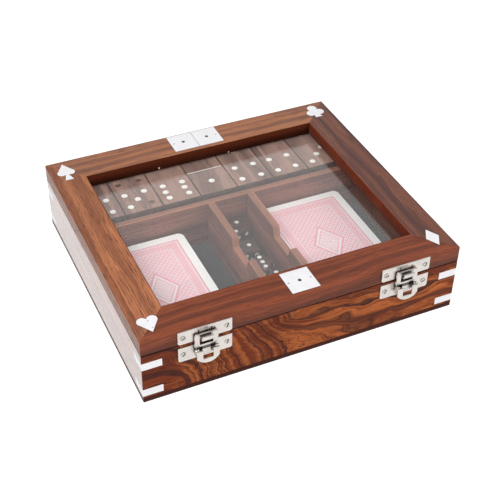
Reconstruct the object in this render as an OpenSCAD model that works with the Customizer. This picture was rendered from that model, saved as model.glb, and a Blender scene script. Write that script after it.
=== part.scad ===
// Games compendium box: a mitred hardwood case with a hinged glazed lid.
// It holds a double-six domino set, two packs of cards and five dice.
// Millimetres, Z up, underside on Z = 0, front with the latches towards -Y.

/* [Case] */
// Width of the case, left to right
box_w = 190; // [186:1:230]
// Depth of the case, front to back, without latches and hinges
box_d = 168; // [166:1:200]
// Height of the closed box
box_h = 44.3; // [44:0.1:60]
// Height of the lid frame
lid_t = 9.8; // [9:0.1:10.2]
// Thickness of the four case walls
wall_t = 6; // [5:0.1:7]
// Thickness of the bottom panel
bottom_t = 3.7; // [3:0.1:4.2]
// Radius on the lower edges of the bottom panel
bottom_r = 1; // [1:0.1:2.5]
// Thickness of the felt floor lining
felt_t = 0.6; // [0.4:0.1:1]

/* [Dividers] */
// Thickness of the long divider in front of the dominoes
long_divider_t = 3.8; // [3:0.1:5]
// Distance from the case centre to the long divider's front face
long_divider_y = 22; // [21.5:0.5:24]
// Thickness of the two short dividers
short_divider_t = 4.2; // [3:0.1:5]
// Inner width of the dice compartment
dice_space_w = 22; // [22:0.5:24]
// Shift of the dice compartment to the right of centre
dice_space_x = 1.7; // [1.3:0.1:3]
// Gap between the divider tops and the lid
divider_gap = 1.4; // [1:0.1:3]
// Length of the finger notches
notch_l = 20.6; // [15:0.1:25]
// Depth of the finger notches
notch_h = 6.5; // [5:0.1:12]
// Distance of the notch centres in front of the case centre
notch_y = 25.2; // [20:0.1:30]

/* [Lid] */
// Width of the left and right lid rails
side_rail_w = 19.8; // [18:0.1:22]
// Width of the front and back lid rails
front_rail_w = 21.2; // [19:0.1:23]
// Thickness of the glass
glass_t = 1.6; // [1.4:0.1:2]
// Width of the rebate that holds the glass
rebate_w = 4; // [3:0.1:6]
// Thickness of the metal inlays
inlay_t = 0.8; // [0.5:0.1:1]

/* [Corner strips] */
// Length of each leg of a corner strip
strip_l = 11.5; // [8:0.1:15]
// Height of a corner strip
strip_h = 4.9; // [4:0.1:6]
// Thickness of a corner strip
strip_t = 0.8; // [0.5:0.1:1]
// Lower edges of the two rows of strips
strip_z = [5, 24]; // [4:0.5:29]

/* [Latches] */
// Distance of the latches from the centre
latch_x = 59.8; // [45:0.1:65]
// Height of the lower edge of the left and of the right base plate
latch_z = [22.9, 23.6]; // [22.3:0.1:23.7]
// Width of the latch plates
latch_w = 30.4; // [28:0.1:34]
// Thickness of the latch sheet metal
sheet_t = 0.8; // [0.6:0.1:0.8]

/* [Hinges] */
// Distance of the hinges from the centre
hinge_x = 52; // [40:0.5:60]
// Width of a hinge
hinge_w = 26; // [20:1:32]
// Radius of the hinge knuckles
knuckle_r = 1.7; // [1.5:0.1:1.8]
// Radius of the hinge pins
hinge_pin_r = 0.8; // [0.6:0.1:0.9]

/* [Contents] */
// Playing card width
card_w = 57.15; // [57.15:0.05:63.5]
// Playing card length
card_l = 88.9; // [87:0.1:89]
// Height of one pack of cards
deck_h = 14; // [10:0.5:16]
// Domino width
domino_w = 24; // [20:0.1:24]
// Domino length
domino_l = 47.8; // [40:0.1:48]
// Domino thickness
domino_t = 7.35; // [6:0.05:7.35]
// Edge length of a die
die_a = 12.5; // [10:0.1:13]

/* [Hidden] */
$fn = 48;

// Colours
rosewood = [0.42, 0.22, 0.14];
rosewood_light = [0.62, 0.38, 0.24];
nickel = [0.82, 0.82, 0.8];
felt = [0.12, 0.13, 0.13];
clear = [0.8, 0.9, 0.9, 0.35];
card_pink = [0.9, 0.75, 0.76];

// How far a cutting shape runs past what it cuts, and how far joined shapes overlap
past = 1;
lap = 0.2;

// Running gap between lid and case, and the seam between them
seam_gap = 0.1;
seam_z = box_h - lid_t;
case_top = seam_z - seam_gap;
half_w = box_w / 2;
half_d = box_d / 2;
in_x = half_w - wall_t;
in_y = half_d - wall_t;
floor_z = bottom_t + felt_t;

// How far the latches and the hinges stand out, which centres the box on the origin
bill_flare = 0.5;
face_out = 5;
latch_out = face_out + bill_flare;
pin_gap = 0.1;
hinge_axis_y = half_d + knuckle_r + pin_gap;
hinge_out = 2 * knuckle_r + pin_gap;
centre_shift = (latch_out - hinge_out) / 2;
hinge_axis_z = seam_z - seam_gap / 2;

// Dividers
divider_top = seam_z - divider_gap;
divider_back = long_divider_y + long_divider_t;
dice_left = dice_space_x - dice_space_w / 2;
dice_right = dice_space_x + dice_space_w / 2;

// Lid opening
open_x = half_w - side_rail_w;
open_y = half_d - front_rail_w;
glass_bed = 0.1;
rebate_h = glass_t + glass_bed;
glass_gap = 0.3;
glass_z = seam_z + glass_bed;

// Latch heights are measured from the lower edge of the base plate
base_h = 9.6;
hook_z = 12.2;
hook_h = 8.4;
plate_r = 1.5;
pivot = [3, 6.6];
loop_pivot = [2.1, 3.9];
pivot_r = 0.5;
running = 0.05;
rivet_out = 0.2;
ear_r = 1.05;
ear_u = 4.6;
ear_slope = 0.3;
cheek_u = 5.6;
cheek_r = 1.15;
cheek_low = 1.5;
flare_z = 2.4;
lever_top = 7.3;
bill_z = -1.1;
bill_r = 8;
slot_u = 2.9;
slot_z = 1.4;
loop_u = 6.6;
loop_t = 1;
loop_top = 17.2;
loop_top_r = 1.4;
window_u = 3.8;
window_z = [10, 14.4];
crossbar_z = 8.7;
tab_u = 2.4;
eye_r = 1.1;
hook_u = 3.25;
shelf_z = 13.3;
lip_top = 16.5;
hook_out = 4.9;
hook_bend = 1.6;
slit_w = 0.6;
slit_top = 19;
screw_u = 12.3;
screw_head_r = 1.5;
screw_head_h = 0.6;
screw_shank_r = 0.8;
screw_l = 4.4;

// Hinge leaves
leaf_t = 0.9;
leaf_y = 5;
leaf_face = seam_gap / 2;
middle_l = hinge_w * 0.3;
side_l = (hinge_w - middle_l) / 2;
knuckle_gap = 0.15;
hinge_screw_u = hinge_w * 0.32;
hinge_screw_r = 0.7;
hinge_head_r = 1.3;
hinge_screw_l = 5;

// Inlay places on the lid, each from its nearest corner or edge
spade_at = [-half_w + 9.7, half_d - 11.7];
club_at = [half_w - 10.3, half_d - 9.6];
heart_at = [-half_w + 9.1, -half_d + 10.9];
diamond_at = [half_w - 9.7, -half_d + 13.8];
domino_inlay_size = [33, 17.4];
domino_inlay_y = half_d - 9.3;
die_inlay_size = [17, 17.4];
die_inlay_y = -half_d + 10.9;

// Centres of the small pins that hold the two plate inlays
domino_pin_x = 14.2;
die_pin_x = 6.6;
pin_places = [
    [-domino_pin_x, domino_inlay_y], [domino_pin_x, domino_inlay_y],
    [-die_pin_x, die_inlay_y], [die_pin_x, die_inlay_y]
];
pin_r = 0.55;
pin_l = 4;

// Contents
domino_pitch = 24.15;
domino_columns = 7;
domino_left = -in_x + 2.3;
domino_gap = 0.1;
card_r = 3.5;
pack_gap = 0.4;
// Gaps between the long divider and the left and the right pack
pack_back_gap = [2.2, 1];
// Each die has its centre and its turn about Z
dice_places = [[1.5, 13.4, 18], [1.4, -5.6, -8], [2.2, -22.9, 45], [4, -38.6, 24], [0.5, -58, 62]];
die_round = 1.5;

// Moves a piece drawn about the case centre so that the whole box is centred
module centred() {
    translate([0, centre_shift, 0]) children();
}

// A flat board in plan view
module board(points, z, h) {
    translate([0, 0, z]) linear_extrude(h) polygon(points);
}

// A block from its two corners
module block(low, high) {
    translate(low) cube(high - low);
}

// Outline of one mitred piece of a frame: 0 front, 1 right, 2 back, 3 left
function mitre(side, out_x, out_y, clear_x, clear_y) =
    side == 0 ? [[-out_x, -out_y], [out_x, -out_y], [clear_x, -clear_y], [-clear_x, -clear_y]] :
    side == 1 ? [[out_x, -out_y], [out_x, out_y], [clear_x, clear_y], [clear_x, -clear_y]] :
    side == 2 ? [[out_x, out_y], [-out_x, out_y], [-clear_x, clear_y], [clear_x, clear_y]] :
    [[-out_x, out_y], [-out_x, -out_y], [-clear_x, -clear_y], [-clear_x, clear_y]];

// Case

// Section of the bottom panel, rounded on its two lower corners
module panel_section(w) {
    translate([-w / 2, bottom_r]) square([w, bottom_t - bottom_r]);
    translate([-w / 2 + bottom_r, 0]) square([w - 2 * bottom_r, bottom_t]);
    intersection() {
        for (side = [-1, 1]) translate([side * (w / 2 - bottom_r), bottom_r]) circle(bottom_r);
        translate([-w / 2, 0]) square([w, bottom_r]);
    }
}

module bottom_panel() {
    color(rosewood) centred() intersection() {
        rotate([90, 0, 0]) linear_extrude(box_d, center = true) panel_section(box_w);
        rotate([90, 0, 90]) linear_extrude(box_w, center = true) panel_section(box_d);
    }
}

// One L-shaped strip let flush into a corner
module corner_strip(sx, sy, z) {
    translate([sx * half_w, sy * half_d, z]) mirror([sx > 0 ? 1 : 0, 0, 0])
        mirror([0, sy > 0 ? 1 : 0, 0]) {
            cube([strip_l, strip_t, strip_h]);
            cube([strip_t, strip_l, strip_h]);
        }
}

module strips(sx, sy) {
    for (z = strip_z) corner_strip(sx, sy, z);
}

module case_wall(side) {
    difference() {
        board(mitre(side, half_w, half_d, in_x, in_y), bottom_t, case_top - bottom_t);
        for (sx = [-1, 1], sy = [-1, 1]) strips(sx, sy);
    }
}

module front_wall() {
    color(rosewood) centred() difference() {
        case_wall(0);
        for (n = [0, 1]) at_latch(n) plate_screws(base_h / 2, running);
    }
}

module back_wall() {
    color(rosewood) centred() difference() {
        case_wall(2);
        for (side = [-1, 1]) at_hinge(side) {
            leaf_pocket(-1);
            leaf_screws(-1, running);
        }
    }
}

module left_wall() {
    color(rosewood) centred() case_wall(3);
}

module right_wall() {
    color(rosewood) centred() case_wall(1);
}

module felt_sheet(low, high) {
    color(felt) centred() block([low[0], low[1], bottom_t], [high[0], high[1], floor_z]);
}

module domino_felt() {
    felt_sheet([-in_x, divider_back], [in_x, in_y]);
}

module left_card_felt() {
    felt_sheet([-in_x, -in_y], [dice_left - short_divider_t, long_divider_y]);
}

module dice_felt() {
    felt_sheet([dice_left, -in_y], [dice_right, long_divider_y]);
}

module right_card_felt() {
    felt_sheet([dice_right + short_divider_t, -in_y], [in_x, long_divider_y]);
}

module long_divider() {
    color(rosewood_light) centred()
        block([-in_x, long_divider_y, bottom_t], [in_x, divider_back, divider_top]);
}

// A short divider with its finger notch
module short_divider(x) {
    color(rosewood_light) centred() difference() {
        block([x, -in_y, bottom_t], [x + short_divider_t, long_divider_y, divider_top]);
        translate([x - past, -notch_y - notch_l / 2, divider_top - notch_h])
            cube([short_divider_t + 2 * past, notch_l, notch_h + past]);
    }
}

module left_divider() {
    short_divider(dice_left - short_divider_t);
}

module right_divider() {
    short_divider(dice_right);
}

module front_left_strips() {
    color(nickel) centred() strips(-1, -1);
}

module front_right_strips() {
    color(nickel) centred() strips(1, -1);
}

module back_left_strips() {
    color(nickel) centred() strips(-1, 1);
}

module back_right_strips() {
    color(nickel) centred() strips(1, 1);
}

// Lid

module spade_outline() {
    lobe_r = 2.9;
    lobe_at = [2.7, -1.6];
    rise = 0.9;
    translate([0, rise]) {
        for (side = [-1, 1]) translate([side * lobe_at[0], lobe_at[1]]) circle(lobe_r);
        polygon([[-5.35, -0.55], [0, -2.4], [5.35, -0.55], [0, 7.8]]);
        polygon([[-2.9, -9.6], [2.9, -9.6], [0.6, -2], [-0.6, -2]]);
    }
}

module club_outline() {
    top_r = 3.4;
    top_y = 3.5;
    lobe_r = 3.3;
    lobe_at = [2.9, -1.6];
    translate([0, top_y]) circle(top_r);
    for (side = [-1, 1]) translate([side * lobe_at[0], lobe_at[1]]) circle(lobe_r);
    polygon([[-2.7, -7.4], [2.7, -7.4], [0.6, 0.5], [-0.6, 0.5]]);
}

module heart_outline() {
    lobe_r = 3.1;
    lobe_at = [2.75, 3.1];
    for (side = [-1, 1]) translate([side * lobe_at[0], lobe_at[1]]) circle(lobe_r);
    polygon([[-5.55, 1.78], [0, -6.2], [5.55, 1.78], [0, 4.4]]);
}

module diamond_outline() {
    polygon([[-4.4, 0], [0, -7.8], [4.4, 0], [0, 7.8]]);
}

module plate_outline(size) {
    square(size, center = true);
}

// An inlay let flush into the top of the lid
module inlay_solid(at) {
    translate([at[0], at[1], box_h - inlay_t]) linear_extrude(inlay_t) children();
}

module inlay_pockets() {
    inlay_solid(spade_at) spade_outline();
    inlay_solid(club_at) club_outline();
    inlay_solid(heart_at) heart_outline();
    inlay_solid(diamond_at) diamond_outline();
    inlay_solid([0, domino_inlay_y]) plate_outline(domino_inlay_size);
    inlay_solid([0, die_inlay_y]) plate_outline(die_inlay_size);
}

module pin_set() {
    for (p = pin_places) translate([p[0], p[1], box_h - pin_l]) cylinder(pin_l, r = pin_r);
}

module lid_rail(side) {
    difference() {
        board(mitre(side, half_w, half_d, open_x, open_y), seam_z, lid_t);
        block([-open_x - rebate_w, -open_y - rebate_w, seam_z - past],
              [open_x + rebate_w, open_y + rebate_w, seam_z + rebate_h]);
        inlay_pockets();
        pin_set();
    }
}

module lid_front_rail() {
    color(rosewood) centred() difference() {
        lid_rail(0);
        for (n = [0, 1]) at_latch(n) plate_screws(hook_z + hook_h / 2, running);
    }
}

module lid_back_rail() {
    color(rosewood) centred() difference() {
        lid_rail(2);
        for (side = [-1, 1]) at_hinge(side) {
            leaf_pocket(1);
            leaf_screws(1, running);
        }
    }
}

module lid_left_rail() {
    color(rosewood_light) centred() lid_rail(3);
}

module lid_right_rail() {
    color(rosewood) centred() lid_rail(1);
}

module glass_pane() {
    reach = [open_x + rebate_w - glass_gap, open_y + rebate_w - glass_gap];
    color(clear) centred()
        block([-reach[0], -reach[1], glass_z], [reach[0], reach[1], glass_z + glass_t]);
}

module spade_inlay() {
    color(nickel) centred() inlay_solid(spade_at) spade_outline();
}

module club_inlay() {
    color(nickel) centred() inlay_solid(club_at) club_outline();
}

module heart_inlay() {
    color(nickel) centred() inlay_solid(heart_at) heart_outline();
}

module diamond_inlay() {
    color(nickel) centred() inlay_solid(diamond_at) diamond_outline();
}

module domino_inlay() {
    color(nickel) centred() difference() {
        inlay_solid([0, domino_inlay_y]) plate_outline(domino_inlay_size);
        pin_set();
    }
}

module die_inlay() {
    color(nickel) centred() difference() {
        inlay_solid([0, die_inlay_y]) plate_outline(die_inlay_size);
        pin_set();
    }
}

module inlay_pins() {
    color(nickel) centred() pin_set();
}

// Hinges, drawn from the pin axis: +Y is outward, half 1 is the lid's and -1 the case's

module at_hinge(side) {
    translate([side * hinge_x, hinge_axis_y, hinge_axis_z]) children();
}

module leaf_block(half, w, y0, y1) {
    low = half > 0 ? leaf_face : -leaf_face - leaf_t;
    translate([-w / 2, y0, low]) cube([w, y1 - y0, leaf_t]);
}

module leaf_pocket(half) {
    leaf_block(half, hinge_w, half_d - hinge_axis_y - leaf_y, half_d - hinge_axis_y + past);
}

// Screws of one leaf, standing in the wood with their heads flush
module leaf_screws(half, extra) {
    for (side = [-1, 1]) translate([side * hinge_screw_u, half_d - hinge_axis_y - leaf_y / 2, 0])
        mirror([0, 0, half > 0 ? 0 : 1]) translate([0, 0, leaf_face]) {
            cylinder(leaf_t, r1 = hinge_head_r, r2 = hinge_screw_r);
            cylinder(hinge_screw_l, r = hinge_screw_r + extra);
        }
}

module knuckle(x, l) {
    translate([x, 0, 0]) rotate([0, 90, 0]) cylinder(l, r = knuckle_r, center = true);
}

module pin_bore(r) {
    rotate([0, 90, 0]) cylinder(hinge_w + 2 * past, r = r, center = true);
}

module hinge_box_leaf(side) {
    color(nickel) centred() at_hinge(side) difference() {
        union() {
            leaf_block(-1, hinge_w, half_d - hinge_axis_y - leaf_y, half_d - hinge_axis_y);
            for (end = [-1, 1]) {
                knuckle(end * (hinge_w - side_l + knuckle_gap) / 2, side_l - knuckle_gap);
                translate([end * (hinge_w - side_l + knuckle_gap) / 2, 0, 0])
                    leaf_block(-1, side_l - knuckle_gap, half_d - hinge_axis_y, 0);
            }
        }
        pin_bore(hinge_pin_r);
        leaf_screws(-1, 0);
    }
}

module hinge_lid_leaf(side) {
    color(nickel) centred() at_hinge(side) difference() {
        union() {
            leaf_block(1, hinge_w, half_d - hinge_axis_y - leaf_y, half_d - hinge_axis_y);
            knuckle(0, middle_l - knuckle_gap);
            leaf_block(1, middle_l - knuckle_gap, half_d - hinge_axis_y, 0);
        }
        pin_bore(hinge_pin_r + running);
        leaf_screws(1, 0);
    }
}

module hinge_pins() {
    color(nickel) centred() for (side = [-1, 1]) at_hinge(side) rotate([0, 90, 0])
        cylinder(hinge_w, r = hinge_pin_r, center = true);
}

module left_hinge_box_leaf() {
    hinge_box_leaf(-1);
}

module right_hinge_box_leaf() {
    hinge_box_leaf(1);
}

module left_hinge_lid_leaf() {
    hinge_lid_leaf(-1);
}

module right_hinge_lid_leaf() {
    hinge_lid_leaf(1);
}

module hinge_box_screws() {
    color(nickel) centred() for (side = [-1, 1]) at_hinge(side) leaf_screws(-1, 0);
}

module hinge_lid_screws() {
    color(nickel) centred() for (side = [-1, 1]) at_hinge(side) leaf_screws(1, 0);
}

// Latches, drawn from the front face: -Y is outward, Z from the base plate's lower edge.
// A side outline has the distance out of the front face first and the height second.

module at_latch(n) {
    translate([(n == 0 ? -1 : 1) * latch_x, -half_d, latch_z[n]]) children();
}

// Carries a side outline along the latch's width
module along(w) {
    rotate([90, 0, -90]) linear_extrude(w, center = true) children();
}

// Carries a side outline along two like pieces, from u to u + w on each side
module pair_along(u, w) {
    for (side = [-1, 1]) translate([side * (u + w / 2), 0, 0]) along(w) children();
}

// Carries an outline seen from the front outwards
module outward(from, to) {
    rotate([90, 0, 0]) translate([0, 0, from]) linear_extrude(to - from) children();
}

// Plate with round lower corners
module plate_front(z, h) {
    translate([-latch_w / 2, z + plate_r]) square([latch_w, h - plate_r]);
    translate([-latch_w / 2 + plate_r, z]) square([latch_w - 2 * plate_r, h]);
    for (side = [-1, 1]) translate([side * (latch_w / 2 - plate_r), z + plate_r]) circle(plate_r);
}

// The two screws of one plate, heads on the plate and shanks in the wood
module plate_screws(z, extra) {
    for (side = [-1, 1]) translate([side * screw_u, 0, z]) rotate([90, 0, 0]) {
        translate([0, 0, -screw_l]) cylinder(screw_l + sheet_t, r = screw_shank_r + extra);
        if (extra == 0)
            translate([0, 0, sheet_t]) cylinder(screw_head_h, r1 = screw_head_r, r2 = screw_shank_r);
    }
}

module latch_base(n) {
    color(nickel) centred() at_latch(n) difference() {
        union() {
            outward(0, sheet_t) plate_front(0, base_h);
            pair_along(ear_u, sheet_t) {
                translate(pivot) circle(ear_r);
                polygon([[sheet_t / 2, pivot[1] - ear_r], [pivot[0], pivot[1] - ear_r],
                         [pivot[0], pivot[1] + ear_r], [sheet_t / 2, pivot[1] + ear_r - ear_slope]]);
            }
        }
        along(2 * (loop_u + past)) translate(pivot) circle(pivot_r);
        plate_screws(base_h / 2, running);
    }
}

module latch_rivets(n) {
    color(nickel) centred() at_latch(n)
        pair_along(ear_u - rivet_out, cheek_u + sheet_t - ear_u + 2 * rivet_out)
            translate(pivot) circle(pivot_r);
}

// Side outline of the lever's face and of its bill, which flares outward
module face_side() {
    polygon([
        [face_out - sheet_t, lever_top], [face_out - sheet_t, flare_z],
        [face_out + bill_flare - sheet_t, bill_z], [face_out + bill_flare, bill_z],
        [face_out, flare_z], [face_out, lever_top]
    ]);
}

// Lever seen from the front: a broad tongue with a round end and a slot for the loop's tab
module face_front() {
    difference() {
        intersection() {
            translate([-cheek_u - sheet_t, bill_z]) square([2 * (cheek_u + sheet_t), lever_top - bill_z]);
            translate([0, bill_z + bill_r]) circle(bill_r);
        }
        translate([-slot_u, slot_z]) square([2 * slot_u, lever_top]);
    }
}

module cheek_side() {
    translate(pivot) circle(cheek_r);
    translate(loop_pivot) circle(cheek_r);
    polygon([
        [pivot[0] - cheek_r, pivot[1]], [loop_pivot[0] - cheek_r, loop_pivot[1]],
        [loop_pivot[0], loop_pivot[1] - cheek_r], [face_out - sheet_t, cheek_low],
        [face_out - sheet_t / 2, flare_z], [face_out - sheet_t / 2, lever_top],
        [face_out - sheet_t, lever_top], [pivot[0], pivot[1] + cheek_r]
    ]);
}

module latch_lever(n) {
    color(nickel) centred() at_latch(n) difference() {
        union() {
            intersection() {
                along(2 * loop_u) face_side();
                outward(0, face_out + past) face_front();
            }
            intersection() {
                pair_along(cheek_u, sheet_t) cheek_side();
                outward(0, face_out + past) translate([0, bill_z + bill_r]) circle(bill_r);
            }
        }
        along(2 * (loop_u + past)) {
            translate(pivot) circle(pivot_r + running);
            translate(loop_pivot) circle(pivot_r);
        }
    }
}

module latch_loop_pin(n) {
    color(nickel) centred() at_latch(n)
        along(2 * (cheek_u + sheet_t + rivet_out)) translate(loop_pivot) circle(pivot_r);
}

// Loop seen from the front: a broad frame with a window for the hook, and a tab down to its pin
module loop_front() {
    straight_u = loop_u - loop_top_r;
    difference() {
        union() {
            translate([-loop_u, crossbar_z]) square([2 * loop_u, loop_top - crossbar_z - loop_top_r]);
            translate([-straight_u, crossbar_z]) square([2 * straight_u, loop_top - crossbar_z]);
            for (side = [-1, 1]) translate([side * straight_u, loop_top - loop_top_r]) circle(loop_top_r);
            translate([-tab_u, loop_pivot[1]]) square([2 * tab_u, crossbar_z - loop_pivot[1] + lap]);
        }
        translate([-window_u, window_z[0]]) square([2 * window_u, window_z[1] - window_z[0]]);
    }
}

module latch_loop(n) {
    color(nickel) centred() at_latch(n) difference() {
        union() {
            outward(loop_pivot[0] - loop_t / 2, loop_pivot[0] + loop_t / 2) loop_front();
            along(2 * tab_u) translate(loop_pivot) circle(eye_r);
        }
        along(2 * loop_u) translate(loop_pivot) circle(pivot_r + running);
    }
}

// Side outline of the hook: a shelf under the loop's top bar, with an upturned lip
module hook_side() {
    translate([sheet_t / 2, shelf_z]) square([hook_out - sheet_t / 2 - hook_bend, sheet_t]);
    translate([hook_out - sheet_t, shelf_z + hook_bend]) square([sheet_t, lip_top - shelf_z - hook_bend]);
    translate([hook_out - hook_bend, shelf_z + hook_bend]) intersection() {
        difference() {
            circle(hook_bend);
            circle(hook_bend - sheet_t);
        }
        translate([0, -hook_bend]) square(hook_bend);
    }
}

module latch_hook(n) {
    color(nickel) centred() at_latch(n) difference() {
        union() {
            outward(0, sheet_t) plate_front(hook_z, hook_h);
            along(2 * hook_u) hook_side();
        }
        for (side = [-1, 1]) translate([side * (hook_u + slit_w / 2), 0, 0])
            outward(-past, sheet_t + past)
                translate([-slit_w / 2, shelf_z + sheet_t]) square([slit_w, slit_top - shelf_z - sheet_t]);
        plate_screws(hook_z + hook_h / 2, running);
    }
}

module left_latch_base() {
    latch_base(0);
}

module right_latch_base() {
    latch_base(1);
}

module left_latch_rivets() {
    latch_rivets(0);
}

module right_latch_rivets() {
    latch_rivets(1);
}

module left_latch_lever() {
    latch_lever(0);
}

module right_latch_lever() {
    latch_lever(1);
}

module left_latch_loop_pin() {
    latch_loop_pin(0);
}

module right_latch_loop_pin() {
    latch_loop_pin(1);
}

module left_latch_loop() {
    latch_loop(0);
}

module right_latch_loop() {
    latch_loop(1);
}

module left_latch_hook() {
    latch_hook(0);
}

module right_latch_hook() {
    latch_hook(1);
}

module latch_base_screws() {
    color(nickel) centred() for (n = [0, 1]) at_latch(n) plate_screws(base_h / 2, 0);
}

module latch_hook_screws() {
    color(nickel) centred() for (n = [0, 1]) at_latch(n) plate_screws(hook_z + hook_h / 2, 0);
}

// Contents

module card_outline() {
    translate([card_r, 0]) square([card_w - 2 * card_r, card_l]);
    translate([0, card_r]) square([card_w, card_l - 2 * card_r]);
    for (x = [card_r, card_w - card_r], y = [card_r, card_l - card_r]) translate([x, y]) circle(card_r);
}

// A pack of cards with its left back corner at x, y
module card_pack(x, y) {
    color(card_pink) centred() translate([x, y - card_l, floor_z])
        linear_extrude(deck_h) card_outline();
}

module left_card_pack() {
    card_pack(-in_x + pack_gap, long_divider_y - pack_back_gap[0]);
}

module right_card_pack() {
    card_pack(dice_right + short_divider_t + pack_gap, long_divider_y - pack_back_gap[1]);
}

// One layer of dominoes side by side, counted from the floor
module domino_layer(layer) {
    y = in_y - domino_l - domino_gap;
    z = floor_z + (layer - 1) * domino_t;
    color(rosewood) centred() for (n = [0 : domino_columns - 1])
        translate([domino_left + n * domino_pitch, y, z]) cube([domino_w, domino_l, domino_t]);
}

module dominoes_layer_1() {
    domino_layer(1);
}

module dominoes_layer_2() {
    domino_layer(2);
}

module dominoes_layer_3() {
    domino_layer(3);
}

module dominoes_layer_4() {
    domino_layer(4);
}

// A die: a cube with its corners rounded by a sphere
module die(place) {
    color(rosewood) centred() translate([place[0], place[1], floor_z + die_a / 2]) rotate([0, 0, place[2]])
        intersection() {
            cube(die_a, center = true);
            sphere(r = die_a * sqrt(3) / 2 - die_round);
        }
}

module dice_one() {
    die(dice_places[0]);
}

module dice_two() {
    die(dice_places[1]);
}

module dice_three() {
    die(dice_places[2]);
}

module dice_four() {
    die(dice_places[3]);
}

module dice_five() {
    die(dice_places[4]);
}

bottom_panel();
front_wall();
back_wall();
left_wall();
right_wall();
domino_felt();
left_card_felt();
dice_felt();
right_card_felt();
long_divider();
left_divider();
right_divider();
front_left_strips();
front_right_strips();
back_left_strips();
back_right_strips();
lid_front_rail();
lid_back_rail();
lid_left_rail();
lid_right_rail();
glass_pane();
spade_inlay();
club_inlay();
heart_inlay();
diamond_inlay();
domino_inlay();
die_inlay();
inlay_pins();
left_hinge_box_leaf();
right_hinge_box_leaf();
left_hinge_lid_leaf();
right_hinge_lid_leaf();
hinge_pins();
hinge_box_screws();
hinge_lid_screws();
left_latch_base();
right_latch_base();
left_latch_rivets();
right_latch_rivets();
left_latch_lever();
right_latch_lever();
left_latch_loop_pin();
right_latch_loop_pin();
left_latch_loop();
right_latch_loop();
left_latch_hook();
right_latch_hook();
latch_base_screws();
latch_hook_screws();
left_card_pack();
right_card_pack();
dominoes_layer_1();
dominoes_layer_2();
dominoes_layer_3();
dominoes_layer_4();
dice_one();
dice_two();
dice_three();
dice_four();
dice_five();
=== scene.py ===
"""Looks of the games compendium box: woods, metals, glass, felt, cards, dominoes and dice.

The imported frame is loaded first, and every piece stands where a part of the frame stands. Lengths in the
functions are millimetres, in the frame's own axes; meshes are written in metres.
"""

import math
from functools import partialmethod

import bmesh
import bpy
import numpy as np
from bpy.props import FloatProperty, FloatVectorProperty, IntProperty, PointerProperty
from mathutils import Euler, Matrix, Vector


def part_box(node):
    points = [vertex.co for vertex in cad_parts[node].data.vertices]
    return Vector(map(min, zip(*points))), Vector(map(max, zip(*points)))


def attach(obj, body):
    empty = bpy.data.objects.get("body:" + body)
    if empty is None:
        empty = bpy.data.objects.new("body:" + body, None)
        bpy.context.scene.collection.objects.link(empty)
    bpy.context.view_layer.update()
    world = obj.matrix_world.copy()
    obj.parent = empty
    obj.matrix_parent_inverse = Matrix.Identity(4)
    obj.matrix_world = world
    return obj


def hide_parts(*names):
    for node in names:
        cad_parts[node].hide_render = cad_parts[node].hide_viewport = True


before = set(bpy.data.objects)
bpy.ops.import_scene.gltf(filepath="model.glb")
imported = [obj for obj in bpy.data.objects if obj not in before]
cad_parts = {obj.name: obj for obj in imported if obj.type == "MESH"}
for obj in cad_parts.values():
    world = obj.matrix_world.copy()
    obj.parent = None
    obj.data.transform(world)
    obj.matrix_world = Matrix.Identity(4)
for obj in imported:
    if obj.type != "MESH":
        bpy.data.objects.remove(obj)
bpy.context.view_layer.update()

bl_info = {
    "name": "Games Compendium Box",
    "version": (1, 0, 0),
    "blender": (4, 5, 0),
    "location": "3D View > Sidebar > Compendium",
    "description": "Finishes the packed games compendium box in wood, metal, felt and glass",
    "category": "Object",
}

MM = 0.001
MERGE = 1e-6  # metres within which points of a CAD node are one
CRISP = math.radians(35)  # edges that turn by more stay sharp
CUTS = 4  # strips each way in a cell that can hold a pip
SEAM_DEPTH = 0.9  # how far in the painted shade line between case and lid reaches
OPENING_SHADE_LOW, OPENING_SHADE_HIGH = 37.0, 42.5  # heights between which the painted shade on the walls of the lid's opening changes tone

# Linear colours of small marks
FILLER = (0.62, 0.36, 0.24)
# painted shade of the gap between case and lid
SEAM_SHADE = (0.014, 0.006, 0.005)
NAIL_GREY = (0.36, 0.35, 0.36)
# painted shade in the recesses of the latches
PAINTED_SHADE = (0.020, 0.014, 0.012)

# The cells of three by three in which the pips of a number stand
PIPS = {0: (), 1: (4,), 2: (0, 8), 3: (0, 4, 8), 4: (0, 2, 6, 8), 5: (0, 2, 4, 6, 8), 6: (0, 2, 3, 5, 6, 8)}

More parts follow.
